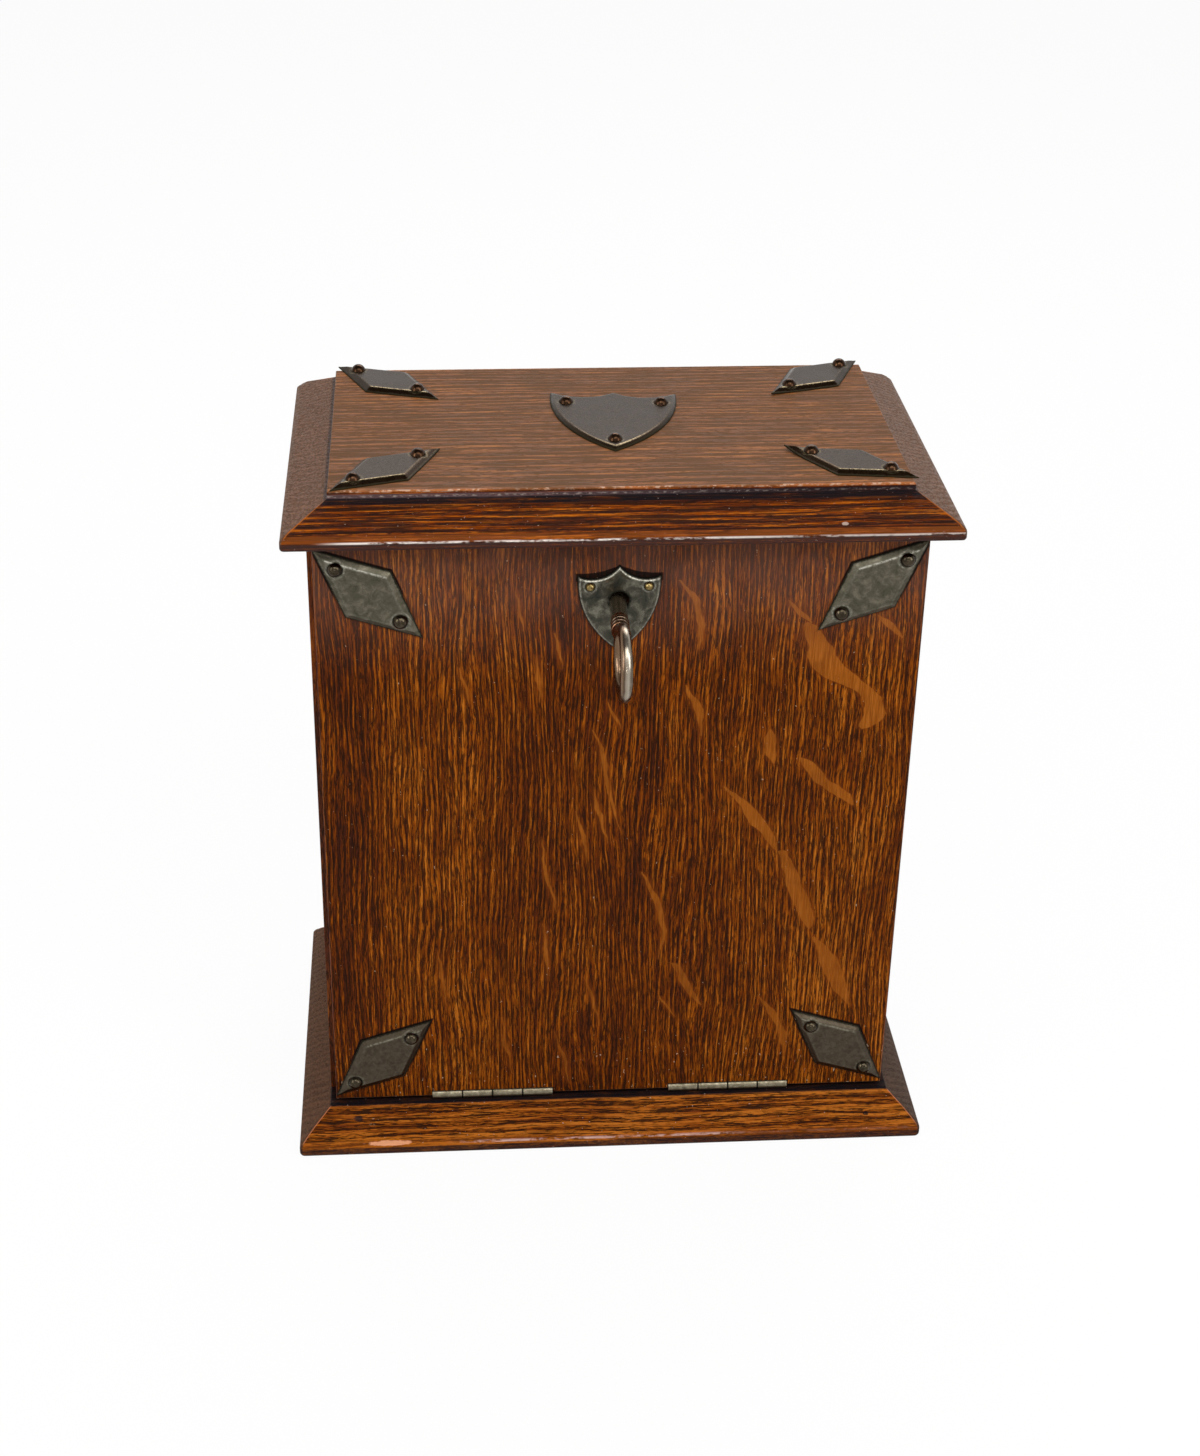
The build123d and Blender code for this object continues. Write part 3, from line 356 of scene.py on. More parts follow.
def inside_track(f, x, height, track):
    """How far inside one of a track's flecks a point is, in millimetres."""
    rows = []
    for fleck in track:
        top, foot = fleck[0], fleck[-1]
        rows += [(top[0] + FLECK_GAP, top[1], GAP_WIDTH), *fleck, (foot[0] - FLECK_GAP, foot[1], GAP_WIDTH)]
    rows = sorted([*rows, (0.0, rows[-1][1], GAP_WIDTH), (CURVE_SPAN, rows[0][1], GAP_WIDTH)])
    middle = f.curve(height, [(z / CURVE_SPAN, m / CURVE_SPAN + 0.5) for z, m, _ in rows], False)
    half = f.curve(height, [(z / CURVE_SPAN, w / HALF_SPAN + 0.5) for z, _, w in rows], False)
    away = f.absolute(f.minus(x, f.scaled(middle, CURVE_SPAN, -CURVE_SPAN / 2)))
    return f.minus(f.scaled(half, HALF_SPAN, -HALF_SPAN / 2), away)


def mount_edge_shade(f, xyz, high, turn):
    """Painted shade and dirt along the outline of the fall's left and right mounts at one height, strongest
    above them.
    """
    u, v = f.minus(f.absolute(xyz[0]), MOUNT_X), f.minus(xyz[2], high)
    c, s = cos(radians(turn)), sin(radians(turn))
    along = f.absolute(f.plus(f.times(u, c), f.times(v, s)))
    side = f.absolute(f.minus(f.times(v, c), f.times(u, s)))
    size = hypot(LONG, SHORT)
    past = f.scaled(along, SHORT / size, f.scaled(side, LONG / size, -LONG * SHORT / size))
    return f.times(f.span(past, 1.0, 0.45), f.span(v, -9.0, 4.0, 0.25, 1.0))


def escutcheon_edge_shade(f, xyz):
    """Painted shadow and dirt along the escutcheon's top edge."""
    x = f.absolute(f.minus(xyz[0], KEY_X))
    crest = f.curve(f.math("DIVIDE", x, CREST_WIDE), CREST)
    rise = f.minus(f.minus(xyz[2], KEY_Z), f.times(crest, CREST_HIGH))
    gap_shade = f.times(f.span(rise, 0.95, 0.5), f.span(rise, -3.0, -2.0))
    return f.times(gap_shade, f.span(x, CREST_END, CREST_END - 0.8))


def fall_marks(f, xyz, value, what):
    """The fall's tone, then its smooth, lighter ray flecks, haze, painted shade and dirt round the metal, and
    pale nicks.
    """
    if what == "tone":
        return fall_tone(f, xyz, value)
    x = f.plus(xyz[0], f.scaled(f.cloud((0.16, 0.16, 0.10), 2), 4.0, -2.0))
    height = f.math("DIVIDE", xyz[2], CURVE_SPAN)
    depths = [inside_track(f, x, height, track) for track in FLECKS]
    flecks = f.most(*[f.span(depth, -0.25, 0.40) for depth in depths])
    rims = f.most(*[f.span(depth, -2.0, -0.2) for depth in depths])
    face = f.span(xyz[1], FRONT + 0.9, FRONT + 0.3)
    lit = f.ramp(f.cloud((2.6, 1.0, 0.07), 2, 0.6), (0.25, FLECK_LOW), (0.5, FLECK_MID), (0.75, FLECK_PALE))
    patchy = f.span(f.cloud(0.12, 2), 0.3, 0.6, 0.60, 0.94)
    patchy = f.times(patchy, f.span(xyz[2], 50.0, 200.0, 0.72, 1.0))
    value = f.mix(f.times(rims, f.times(face, 0.38)), value, FLECK_RIM)
    value = f.mix(f.times(flecks, f.times(face, patchy)), value, lit)
    haze = f.span(xyz[2], FALL_HIGH - 62, FALL_HIGH - 6, 0.0, 0.36)
    value = f.mix(f.times(haze, f.span(f.cloud(0.05, 3, 0.6), 0.3, 0.6, 0.6, 1.0)), value, HAZE)
    # Painted shade and dirt along the outlines of the mounts and the escutcheon
    edge_shade = f.most(mount_edge_shade(f, xyz, MOUNT_TOP_Z, MOUNT_TURN), mount_edge_shade(f, xyz, MOUNT_FOOT_Z, -MOUNT_TURN),
                  escutcheon_edge_shade(f, xyz))
    value = f.mix(f.times(edge_shade, f.times(face, 0.93)), value, EDGE_SHADE_AND_DIRT)
    nick = f.plus(f.cloud((0.9, 0.9, 0.45), 2, 0.6), f.span(xyz[2], 55.0, 30.0, 0.0, 0.045))
    nick = f.span(nick, 0.745, 0.775, 0.0, 0.7)
    return f.mix(f.times(nick, face), value, NICK)


# ---------------- the lid's and the base's moulded edges
# Heights and insets in millimetres. A pair of places is where something starts and where it is full. The
# tones calm (field) and strong (elsewhere) are a factor and a shift on the oak's own.
LID_EDGES = SimpleNamespace(
    node="lid_board", nose=279.6, field=291.2, inner=(17.0, 16.0), lip=True,
    calm=(1.4, -0.27), strong=(1.65, -0.46), right_level=-0.15, fade=0.42, warm=0.8, right_end_shade=0.0,
    mitre=(168, 92, 34), mitre_shift=0.6, band=0.42, under=(56, 36, 32),
    glint_strength=0.95, glint=(236, 226, 218), glint_drop=1.75, glint_width=0.68,
    glint_from=(-114.0, -98.0), glint_to=(70.0, 5.0, 0.55, 1.0),
    groove_start=(-0.05, 0.15), groove_stop=(3.9, 2.2), dirt_and_shade=0.92, dirt_and_shade_least=0.6,
    spots=(((80.0, -70.7, 281.3), (1.5, 0.9, 0.9), (168, 146, 134)),))
BASE_EDGES = SimpleNamespace(
    node="base_board", nose=5.7, field=99.0, inner=(13.0, 13.0), lip=False,
    calm=(1.0, 0.0), strong=(1.35, -0.16), right_level=-0.08, fade=0.0, warm=0.2, right_end_shade=0.7,
    mitre=(186, 112, 74), mitre_shift=0.0, band=0.35, under=(40, 24, 22),
    glint_strength=0.9, glint=(196, 160, 150), glint_drop=0.6, glint_width=0.7,
    glint_from=(-70.0, -50.0), glint_to=(60.0, 40.0, 0.1, 1.0),
    groove_start=(-90.0, -80.0), groove_stop=(0.8, -0.1), dirt_and_shade=0.97, dirt_and_shade_least=0.9,
    spots=(((-92.0, -77.4, 5.6), (11.0, 1.6, 1.2), (222, 156, 116)),
           ((-105.0, -68.5, 12.0), (2.6, 2.0, 1.2), (24, 22, 24)),
           ((-99.0, -70.5, 10.2), (2.4, 1.4, 1.0), (166, 152, 128)),
           ((106.5, -72.5, 9.2), (1.5, 1.2, 1.0), (16, 12, 12))))
WARM_TINT, RIGHT_END_SHADE = (1.0, 0.85, 0.30, 1.0), (0.5, 0.65, 0.8, 1.0)
FADE_AND_SHEEN, NOSE_BAND, GROOVE_SHADE_AND_DIRT, SPECK = (124, 87, 54), (150, 78, 22), (16, 14, 18), (178, 158, 146)
RISER_LEFT, RISER_RIGHT, RISER_SHINE = (84, 66, 68), (30, 24, 28), (168, 154, 146)
LIP_BROWN, LIP_PALE = (166, 98, 52), (196, 158, 132)


def board_edges(edges):
    """Wear, dirt, marks, painted shade and painted highlights on a moulded board: a flat field, a bevel and a
    rounded nose.
    """
    low, high = (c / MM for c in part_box(edges.node))
    middle, half = (low + high) / 2, (high - low) / 2
    nose, top = edges.nose, edges.field

    def shade(f, xyz, value, what):
        x, y, z = xyz
        flat = f.span(z, top - 0.5, top - 0.15)
        if what == "tone":
            calm = f.scaled(value, *edges.calm)
            strong = f.plus(f.scaled(value, *edges.strong), f.span(x, -20.0, 70.0, 0.0, edges.right_level))
            return f.plus(f.times(flat, calm), f.times(f.minus(1.0, flat), strong))
        inset_x = f.minus(half.x, f.absolute(f.minus(x, middle.x)))
        inset_y = f.minus(half.y, f.absolute(f.minus(y, middle.y)))
        patchy = f.cloud((0.06, 0.09, 0.4), 3, 0.6)
        ragged = f.cloud((0.45, 0.45, 0.9), 3, 0.6)
        broken = f.span(f.plus(patchy, f.scaled(ragged, 0.5, -0.25)), 0.38, 0.58)
        end = f.end_of(0)
        front, above_nose = f.minus(1.0, end), f.span(z, nose + 1.5, nose + 2.5)
        # The field faded and with a painted sheen, the right end grain painted darker as shade, the front
        # bevel warmer
        value = f.mix(f.times(flat, edges.fade), value, FADE_AND_SHEEN)
        # Painted shade: the end grain darker towards the right end
        value = f.mix(f.times(end, f.span(x, 0.0, 60.0), edges.right_end_shade), value, RIGHT_END_SHADE, "MULTIPLY")
        slope = f.math("SUBTRACT", front, flat, clamp=True)
        value = f.mix(f.times(slope, edges.warm), value, WARM_TINT, "MULTIPLY")
        # The mitre's line
        mitre = f.near(f.minus(f.minus(inset_x, inset_y), edges.mitre_shift), 0.0, 0.55)
        mitre = f.times(mitre, f.span(z, nose - 0.5, nose + 0.5), f.span(z, top - 2.8, top - 3.0), 0.8)
        value = f.mix(mitre, value, edges.mitre)
        # The nose: a brown band, painted shade on its underside, and a painted highlight along it as a pale
        # line
        outer = f.span(f.math("MINIMUM", inset_x, inset_y), 2.6, 1.6)
        band = f.times(f.span(z, nose - 2.2, nose - 1.4), f.span(z, nose + 0.9, nose + 0.3), front)
        band = f.times(band, f.span(patchy, 0.3, 0.5, 0.35, 0.9), edges.band, outer)
        value = f.mix(band, value, NOSE_BAND)
        # Painted shade below the nose's brown band, on its underside
        under = f.times(f.span(z, nose - 1.5, nose - 2.3), f.span(ragged, 0.4, 0.6, 0.72, 0.92), outer)
        value = f.mix(under, value, edges.under)
        # Painted highlight: a pale broken line along the nose, fading towards the right
        painted_sheen = f.times(f.near(z, nose - edges.glint_drop, edges.glint_width), outer, broken)
        painted_sheen = f.times(painted_sheen, f.scaled(end, -0.7, 1.0), f.span(x, *edges.glint_from), f.span(x, *edges.glint_to))
        value = f.mix(f.times(painted_sheen, edges.glint_strength), value, edges.glint)
        # The short upright face below the field, with painted glints, and along its front the lip's rubbed
        # edge, partly a painted highlight
        past_x, past_y = f.minus(edges.inner[0], inset_x), f.minus(edges.inner[1], inset_y)
        past = f.most(past_x, past_y)
        if edges.lip:
            riser = f.times(f.span(z, top - 0.9, top - 1.5), f.near(past, 0.0, 1.2), above_nose, 0.85)
            right = f.span(x, -60.0, 90.0)
            value = f.mix(riser, value, f.mix(right, RISER_LEFT, RISER_RIGHT))
            # Painted highlight: pale broken glints along the upright face, fewer to the right
            shine = f.times(f.near(z, top - 2.1, 0.7), f.span(ragged, 0.46, 0.66, 0.0, 0.75),
                            f.scaled(right, -0.6, 1.0), front, f.near(past, 0.0, 1.0))
            value = f.mix(shine, value, RISER_SHINE)
            lip = f.times(f.near(past_y, -0.4, 1.0), f.span(z, top - 0.9, top - 0.4), front,
                          f.span(broken, 0.0, 1.0, 0.25, 0.85))
            value = f.mix(lip, value, f.mix(f.span(ragged, 0.5, 0.6), LIP_BROWN, LIP_PALE))
        # Dirt and painted shade in the corner where the bevel starts; on the base, painted shade on its flat
        # top under the fall
        groove = f.times(f.span(past, *edges.groove_start),
                         f.span(past_y if edges.lip else past, *edges.groove_stop))
        if edges.lip:
            beside = f.times(f.span(past_x, 1.8, 1.0), f.span(past_x, -0.05, 0.15), end, 0.6)
            groove = f.times(f.most(f.times(groove, front), beside), above_nose)
        groove = f.times(groove, f.span(z, top - 2.2, top - 2.9),
                         f.span(patchy, 0.3, 0.5, edges.dirt_and_shade_least, 1.0), edges.dirt_and_shade)
        value = f.mix(groove, value, GROOVE_SHADE_AND_DIRT)
        # Single marks, and pale specks on the front bevel
        for centre, reach, tone in edges.spots:
            away = f.vector("MULTIPLY", f.vector("SUBTRACT", f.place, centre), [1 / r for r in reach])
            away = f.scaled(ragged, 0.9, f.vector("LENGTH", away))
            value = f.mix(f.span(away, 1.45, 1.15, 0.0, 0.85), value, tone)
        speck = f.span(f.cloud((0.8, 1.2, 1.2), 2, 0.6), 0.72, 0.76, 0.0, 0.75)
        return f.mix(f.most(f.times(speck, f.minus(front, flat)), 0.0), value, SPECK)

    return shade


def side_edge_shade(f, xyz, value, what):
    """Painted shade: the sides' front edges are painted black, for the shade in the gap beside the fall."""
    if what == "tone":
        return value
    front = f.span(xyz[1], FRONT + 1.9, FRONT + 0.7)
    return f.mix(f.times(front, 0.88), value, (16, 9, 6))


X, Y, Z = range(3)
paint(oak("oak_fall", Z, X, 0.0, ring=2.05, level=0.04, rough=0.40, dash=(9.0, 0.36, 0.572), lift=0.06,
          reach=0.55, pores=1.05, extra=fall_marks), "fall_panel")
paint(oak("oak_side", Z, Y, 3.0, ring=2.6, level=0.12, lift=-0.06, extra=side_edge_shade),
      "left_side", "right_side")
paint(oak("oak_back", Z, X, 5.0, ring=4.2, level=0.12, rough=0.45, wave=1.8), "back_panel")
paint(oak("oak_rack", X, Z, 7.0, ring=2.4, level=0.12, rough=0.5, contrast=0.7),
      "front_rail", "front_divider", "middle_divider", "rear_divider")
# The lid's end_shade above 1 lightens its end-grain side bevels: partly a painted sheen
paint(oak("oak_lid", X, Y, 0.0, ring=2.1, level=0.07, rough=0.32, dash=(22.0, 0.55, 0.545), lift=0.08,
          pith=(-160.0, 60.0), wave=0.25, end_shade=1.22, extra=board_edges(LID_EDGES)), "lid_board")
paint(oak("oak_base", X, Y, 2.0, ring=3.4, level=0.04, rough=0.38, dash=(13.0, 0.62, 0.59), lift=0.26,
          pores=1.15, contrast=0.7, pith=(-190.0, -90.0), wave=0.5, end_shade=0.80,
          extra=board_edges(BASE_EDGES)), "base_board")


# ---------------- metals
BEADS = (18.4, 20.7, 23.0)  # the key's three beads, out from the fall's front
HINGE_X, LID_HINGE_X, KNUCKLE = 49.2, 62.0, 12.5
HINGE_AXIS, LID_HINGE_AXIS = (-61.9, 18.2), (67.4, 274.65)  # y and z


def metal(name, dark, mid, light, rough=0.42, grime_and_shade=None, scale=0.5, depth=0.05, bright=None, extra=None):
    """Old metal: mottled colour, and on pressed plates grime with painted shade and rubbed edges with a
    painted highlight, from their two attributes.
    """
    f = Finish(name, Metallic=1.0)
    broad, fine = f.cloud(scale, 4, 0.62, 0.6), f.cloud(2.4, 4, 0.65)
    tone = f.plus(f.times(broad, 0.75), f.times(fine, 0.25))
    colour = f.ramp(tone, (0.34, dark), (0.5, mid), (0.66, light))
    gloss = f.span(broad, 0.3, 0.7, rough + 0.08, rough - 0.06)
    if grime_and_shade:
        dirt_and_shade = f.add("Attribute", attribute_name="grime_and_shade").outputs["Fac"]
        ragged = f.cloud(0.9, 4, 0.7)
        dirt_and_shade = f.span(f.plus(dirt_and_shade, f.scaled(ragged, 1.1, -0.55)), 0.30, 0.85)
        colour = f.mix(f.times(dirt_and_shade, 0.85), colour, grime_and_shade)
        gloss = f.plus(gloss, f.times(dirt_and_shade, 0.30))
        rub_and_highlight = f.add("Attribute", attribute_name="rub_and_highlight").outputs["Fac"]
        rub_and_highlight = f.times(rub_and_highlight, f.span(ragged, 0.35, 0.6, 0.1, 1.0))
        colour = f.mix(f.times(rub_and_highlight, 0.75), colour, bright)
    if extra:
        colour = extra(f, colour)
    return f.show(colour, gloss, f.plus(broad, f.times(fine, 0.6)), depth, 0.6)


def hinge_gap_shade(hinge_x, axis):
    """Painted shade: dark lines in the gaps between the knuckles of a pair of hinges, near their axis."""
    def shade(f, colour):
        x, y, z = f.split(f.place)
        places = [side * hinge_x + k * KNUCKLE for side in (-1, 1) for k in (-1, 0, 1)]
        dark = f.most(*[f.span(f.near(x, place, 0.6), 0.2, 0.6) for place in places])
        away = f.hypot(f.minus(y, axis[0]), f.minus(z, axis[1]))
        return f.mix(f.times(dark, f.span(away, 2.4, 2.1)), colour, (30, 27, 21))
    return shade


def key_tone(f, colour):
    """A dark shank with pale beads, their crests a painted highlight, and on the bow a painted reflection:
    brown on the left, bright on the right.
    """
    x, y, _ = f.split(f.place)
    out, lean = f.minus(FRONT, y), sin(radians(KEY_LEAN))
    middle = f.scaled(out, -lean, KEY_X + KEY_BEND * lean)
    painted_sheen = f.scaled(f.cloud((0.9, 0.3, 0.3), 2), 0.7, -0.35)
    side = f.plus(f.minus(x, middle), painted_sheen)
    bow_reflection = f.ramp(f.span(side, -2.2, 2.2, smooth=False), (0.0, (100, 76, 56)), (0.30, (124, 98, 76)),
                 (0.44, (70, 54, 42)), (0.56, (146, 134, 118)), (0.78, (172, 164, 150)),
                 (1.0, (96, 86, 74)))
    colour = f.mix(0.80, colour, bow_reflection)
    # The neck, the shank, and the stretch of the beads painted dark as shade
    colour = f.mix(f.span(out, 30.1, 25.1), colour, (146, 104, 76))
    colour = f.mix(f.span(out, 24.1, 23.3), colour, (142, 124, 106))
    gap_shade = f.times(f.span(out, 24.0, 23.7), f.span(out, 17.3, 17.7))
    colour = f.mix(f.times(gap_shade, 0.75), colour, (60, 46, 36))
    # Painted highlight on each bead's crest
    bead = f.most(*[f.near(out, place, 0.42) for place in BEADS])
    return f.mix(f.times(bead, 0.9), colour, (226, 192, 150))


pewter = metal("mount_metal", (66, 64, 53), (84, 80, 67), (110, 104, 90), 0.36,
               (22, 23, 15), bright=(206, 203, 188), scale=0.28)
shield_pewter = metal("escutcheon_metal", (42, 44, 40), (68, 66, 57), (114, 110, 98), 0.32,
                      (16, 17, 13), bright=(204, 200, 184), scale=0.19)
foot_pewter = metal("foot_mount_metal", (60, 52, 42), (70, 62, 51), (80, 72, 61), 0.34,
                    (22, 22, 15), bright=(150, 146, 128), depth=0.02)
lid_pewter = metal("lid_mount_metal", (44, 31, 18), (47, 33, 20), (51, 37, 23), 0.26,
                   (46, 42, 28), bright=(158, 142, 108), depth=0.001)
pin_dark = metal("pin_metal", (38, 33, 26), (58, 51, 40), (82, 73, 58), 0.20, depth=0.02)
pin_bronze = metal("lid_pin_metal", (34, 23, 15), (50, 34, 23), (70, 49, 34), 0.20, depth=0.01)
pin_brass = metal("small_pin_metal", (84, 70, 40), (122, 104, 64), (160, 140, 94), 0.26, depth=0.02)
hinge_grey = metal("hinge_metal", (80, 74, 58), (112, 104, 86), (136, 128, 110), 0.36,
                   extra=hinge_gap_shade(HINGE_X, HINGE_AXIS))
lid_hinge_grey = metal("lid_hinge_metal", (80, 74, 58), (112, 104, 86), (136, 128, 110), 0.36,
                       extra=hinge_gap_shade(LID_HINGE_X, LID_HINGE_AXIS))
lock_brass = metal("lock_brass", (128, 98, 54), (150, 120, 68), (170, 140, 84), 0.34, depth=0.02)
key_steel = metal("key_steel", (92, 78, 64), (122, 106, 90), (150, 136, 120), 0.24, extra=key_tone,
                  depth=0.01)
screw_steel = metal("screw_steel", (70, 66, 58), (104, 98, 88), (134, 128, 118), 0.42)
for slot_name, finish in (("pin_metal", pin_dark), ("hinge_metal", hinge_grey), ("lock_brass", lock_brass),
                          ("key_steel", key_steel), ("screw_steel", screw_steel)):
    paint(finish, *[row["node"] for row in frame["record"]["subparts"] if row["material_slot"] == slot_name])
paint(pin_bronze, "lid_mount_pins", "lid_shield_pins")
paint(pin_brass, "escutcheon_pins")
paint(lid_hinge_grey, "lid_hinge_pins", "lid_leaf_left", "lid_leaf_right", "case_leaf_left",
      "case_leaf_right")


# ---------------- pressed plates
RING_INSETS = (0.2, 0.45, 0.8, 1.2, 1.6, 2.0, 2.35, 2.7, 3.1)  # the rings near a plate's edge, in millimetres
CREASE_INSET = 0.45  # the rubbed line with its painted highlight lies this far outside the crease's top


def outline_of(runs, step=1.0):
    """Closed outline from corner-to-corner runs, each a straight line or an arc through a middle point."""
    points = []
    for run in runs:
        start, end = Vector(run[0]), Vector(run[-1])
        if len(run) == 2:
            count = max(2, round((end - start).length / step))
            points += [start.lerp(end, i / count) for i in range(count)]
            continue
        through = Vector(run[1])
        a, b = through - start, end - start
        cross = 2 * (a.x * b.y - a.y * b.x)
        centre = start + Vector((
            (b.y * a.length_squared - a.y * b.length_squared) / cross,
            (a.x * b.length_squared - b.x * a.length_squared) / cross,
        ))
        radius = (start - centre).length
        first = atan2(start.y - centre.y, start.x - centre.x)
        last = atan2(end.y - centre.y, end.x - centre.x)
        sweep = (last - first + pi) % (2 * pi) - pi
        count = max(2, round(abs(sweep) * radius / step))
        for i in range(count):
            angle = first + sweep * i / count
            points.append(centre + Vector((cos(angle), sin(angle))) * radius)
    return points


def edge_distance(points, outline):
    """How far each point is from the outline."""
    p = np.array([tuple(q) for q in points])[:, None, :]
    a = np.array([tuple(q) for q in outline])[None, :, :]
    b = np.roll(a, -1, axis=1)
    along = np.clip(((p - a) * (b - a)).sum(2) / ((b - a) ** 2).sum(2), 0, 1)
    return np.sqrt((((a + (b - a) * along[..., None]) - p) ** 2).sum(2)).min(1)


def bell(value, centre, width):
    """1 at centre, falling smoothly to nothing about twice the width away."""
    return exp(-(((value - centre) / width) ** 2))


def rub_and_highlight_of(outline, place, body, low_rub_highlight):
    """How bright each stretch of a plate's edge is rubbed and lit by a painted highlight: most where it faces
    up, or forward on the lid.
    """
    rub_highlight = []
    for before, p, after in zip(outline[-1:] + outline[:-1], outline, outline[1:] + outline[:1]):
        run = after - before
        step = place(p.x + run.y, p.y - run.x, 0) - place(p.x, p.y, 0)
        if run.y * p.x - run.x * p.y < 0:
            step = -step
        step.normalize()
        facing = step.z if body == "fall" else -step.y
        rub_highlight.append(min(1.0, max(low_rub_highlight, (facing - 0.55) / 0.3)))
    return rub_highlight


def press(body, node, finish, outline, profile, place, pins, pin_radius=2.85, hole=None, warp=None, seed=0.0,
          fill=0.55, grain=0.02, low_rub_highlight=0.12):
    """A plate pressed from sheet: rings of points from its edge to its middle or hole, raised by profile."""
    centre = Vector((0.0, 0.0))
    middle = hole or [centre] * len(outline)
    pins = [Vector(pin) for pin in pins]
    reach = max((a - b).length for a, b in zip(outline, middle))
    narrow = min(p.length for p in outline)
    stops = [0.0] + [inset / narrow for inset in RING_INSETS]
    steps = max(4, round(reach * (1 - stops[-1]) / fill))
    stops += [stops[-1] + (1 - stops[-1]) * i / steps for i in range(1, steps + (1 if hole else 0))]
    offsets, heights = zip(*profile)
    crease = offsets[heights.index(max(heights))] - CREASE_INSET

    def height(p, inset):
        h = float(np.interp(inset, offsets, heights))
        dimples = sum(0.05 * bell((p - pin).length, pin_radius + 0.15, 0.35) for pin in pins)
        z = h - dimples * min(1.0, h / 1.2)
        z += 0.06 * noise.noise(Vector((p.x * 0.11 + seed, p.y * 0.11, seed))) * min(1.0, h)
        z += grain * noise.noise(Vector((p.x * 0.6 + seed, p.y * 0.6, seed)))
        return max(z, 0.02) + (warp(p) if warp else 0.0)

    mesh = bmesh.new()
    grime_and_shade = mesh.verts.layers.float.new("grime_and_shade")
    rub_and_highlight = mesh.verts.layers.float.new("rub_and_highlight")

    def point(p, z, dirt_and_shade, rub_highlight=0.0):
        vert = mesh.verts.new(place(p.x, p.y, z))
        vert[grime_and_shade] = dirt_and_shade
        vert[rub_and_highlight] = rub_highlight
        return vert

    def surface_point(p, inset, edge_rub_highlight):
        # Grime and painted shade at the outline, round each pin and by the keyhole; a rubbed edge with a
        # painted highlight at the crease, and a pale ring round each pin
        dirt_and_shade, ring = max(0.0, 1.0 - inset / 1.1), 0.0
        for pin in pins:
            away = (p - pin).length
            dirt_and_shade = max(dirt_and_shade, 1.4 * bell(away, pin_radius - 0.05, 0.30))
            ring = max(ring, 0.55 * bell(away, pin_radius + 0.62, 0.22))
        if hole:
            dirt_and_shade = max(dirt_and_shade, 0.9 - min((p - q).length for q in hole[::3]) / 2.2)
        return point(p, height(p, inset), dirt_and_shade, max(ring, edge_rub_highlight * bell(inset, crease, 0.30)))

    rows = [[point(p, max(0.0, warp(p) * 0.9) if warp else 0.0, 1.0) for p in outline]]
    rub_highlight = rub_and_highlight_of(outline, place, body, low_rub_highlight)
    for stop in stops:
        loop = [a.lerp(b, stop) for a, b in zip(outline, middle)]
        rows.append([surface_point(*each) for each in zip(loop, edge_distance(loop, outline), rub_highlight)])
    if hole:
        rows.append([point(p, 0.0, 1.0) for p in hole])
        rows.append(rows[0])
    for lower, upper in zip(rows, rows[1:]):
        for i, j in around(len(outline)):
            mesh.faces.new((lower[i], lower[j], upper[j], upper[i]))
    if not hole:
        tip, under = point(centre, height(centre, narrow), 0.0), point(centre, 0.0, 0.0)
        for i, j in around(len(outline)):
            mesh.faces.new((rows[-1][i], rows[-1][j], tip))
            mesh.faces.new((rows[0][j], rows[0][i], under))
    add_piece("pressed_" + node, mesh, body, node, finish, 45)


def add_piece(name, mesh, body, node, finish, angle):
    """A visual piece in a CAD node's place, smooth apart from edges sharper than angle degrees."""
    bmesh.ops.recalc_face_normals(mesh, faces=mesh.faces)
    piece = add_object(name, mesh, finish.mat)
    piece.data.shade_smooth()
    piece.data.set_sharp_from_angle(angle=radians(angle))
    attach(piece, body)
    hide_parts(node)


def frame_of(origin, tilt, face):
    """Maps a plate's own x, y and height (mm) to the model, on the fall's front or on the lid's top."""
    c, s = cos(radians(tilt)), sin(radians(tilt))

    def place(x, y, h):
        u, v = c * x - s * y, s * x + c * y
        return (Vector(origin) + Vector((u, -h, v) if face == "front" else (u, v, h))) * MM
    return place


# ---------------- the eight diamond mounts
# A profile is a plate's height at each distance in from its edge
DIAMOND_TIPS = ((LONG, 0), (0, SHORT), (-LONG, 0), (0, -SHORT))
DIAMOND = outline_of([(DIAMOND_TIPS[i], DIAMOND_TIPS[j]) for i, j in around(4)], 0.9)
DIAMOND_PROFILE = ((0, 0.35), (0.2, 0.52), (0.45, 0.62), (0.9, 0.92), (1.4, 1.28), (1.9, 1.62), (2.2, 1.80),
                   (2.5, 1.90), (2.9, 1.92), (3.5, 1.90))
PINS = ((16.0, 0.0), (-16.0, 0.0))
SEED_STEP = 7.3
SMOOTH = 0.002  # grain of the lid's plates


def tip_lift(end, amount, start=0.55):
    """Bends one long tip up by amount millimetres."""
    def warp(p):
        along = max(0.0, end * p.x / LONG - start) / (1 - start)
        return amount * along * along
    return warp


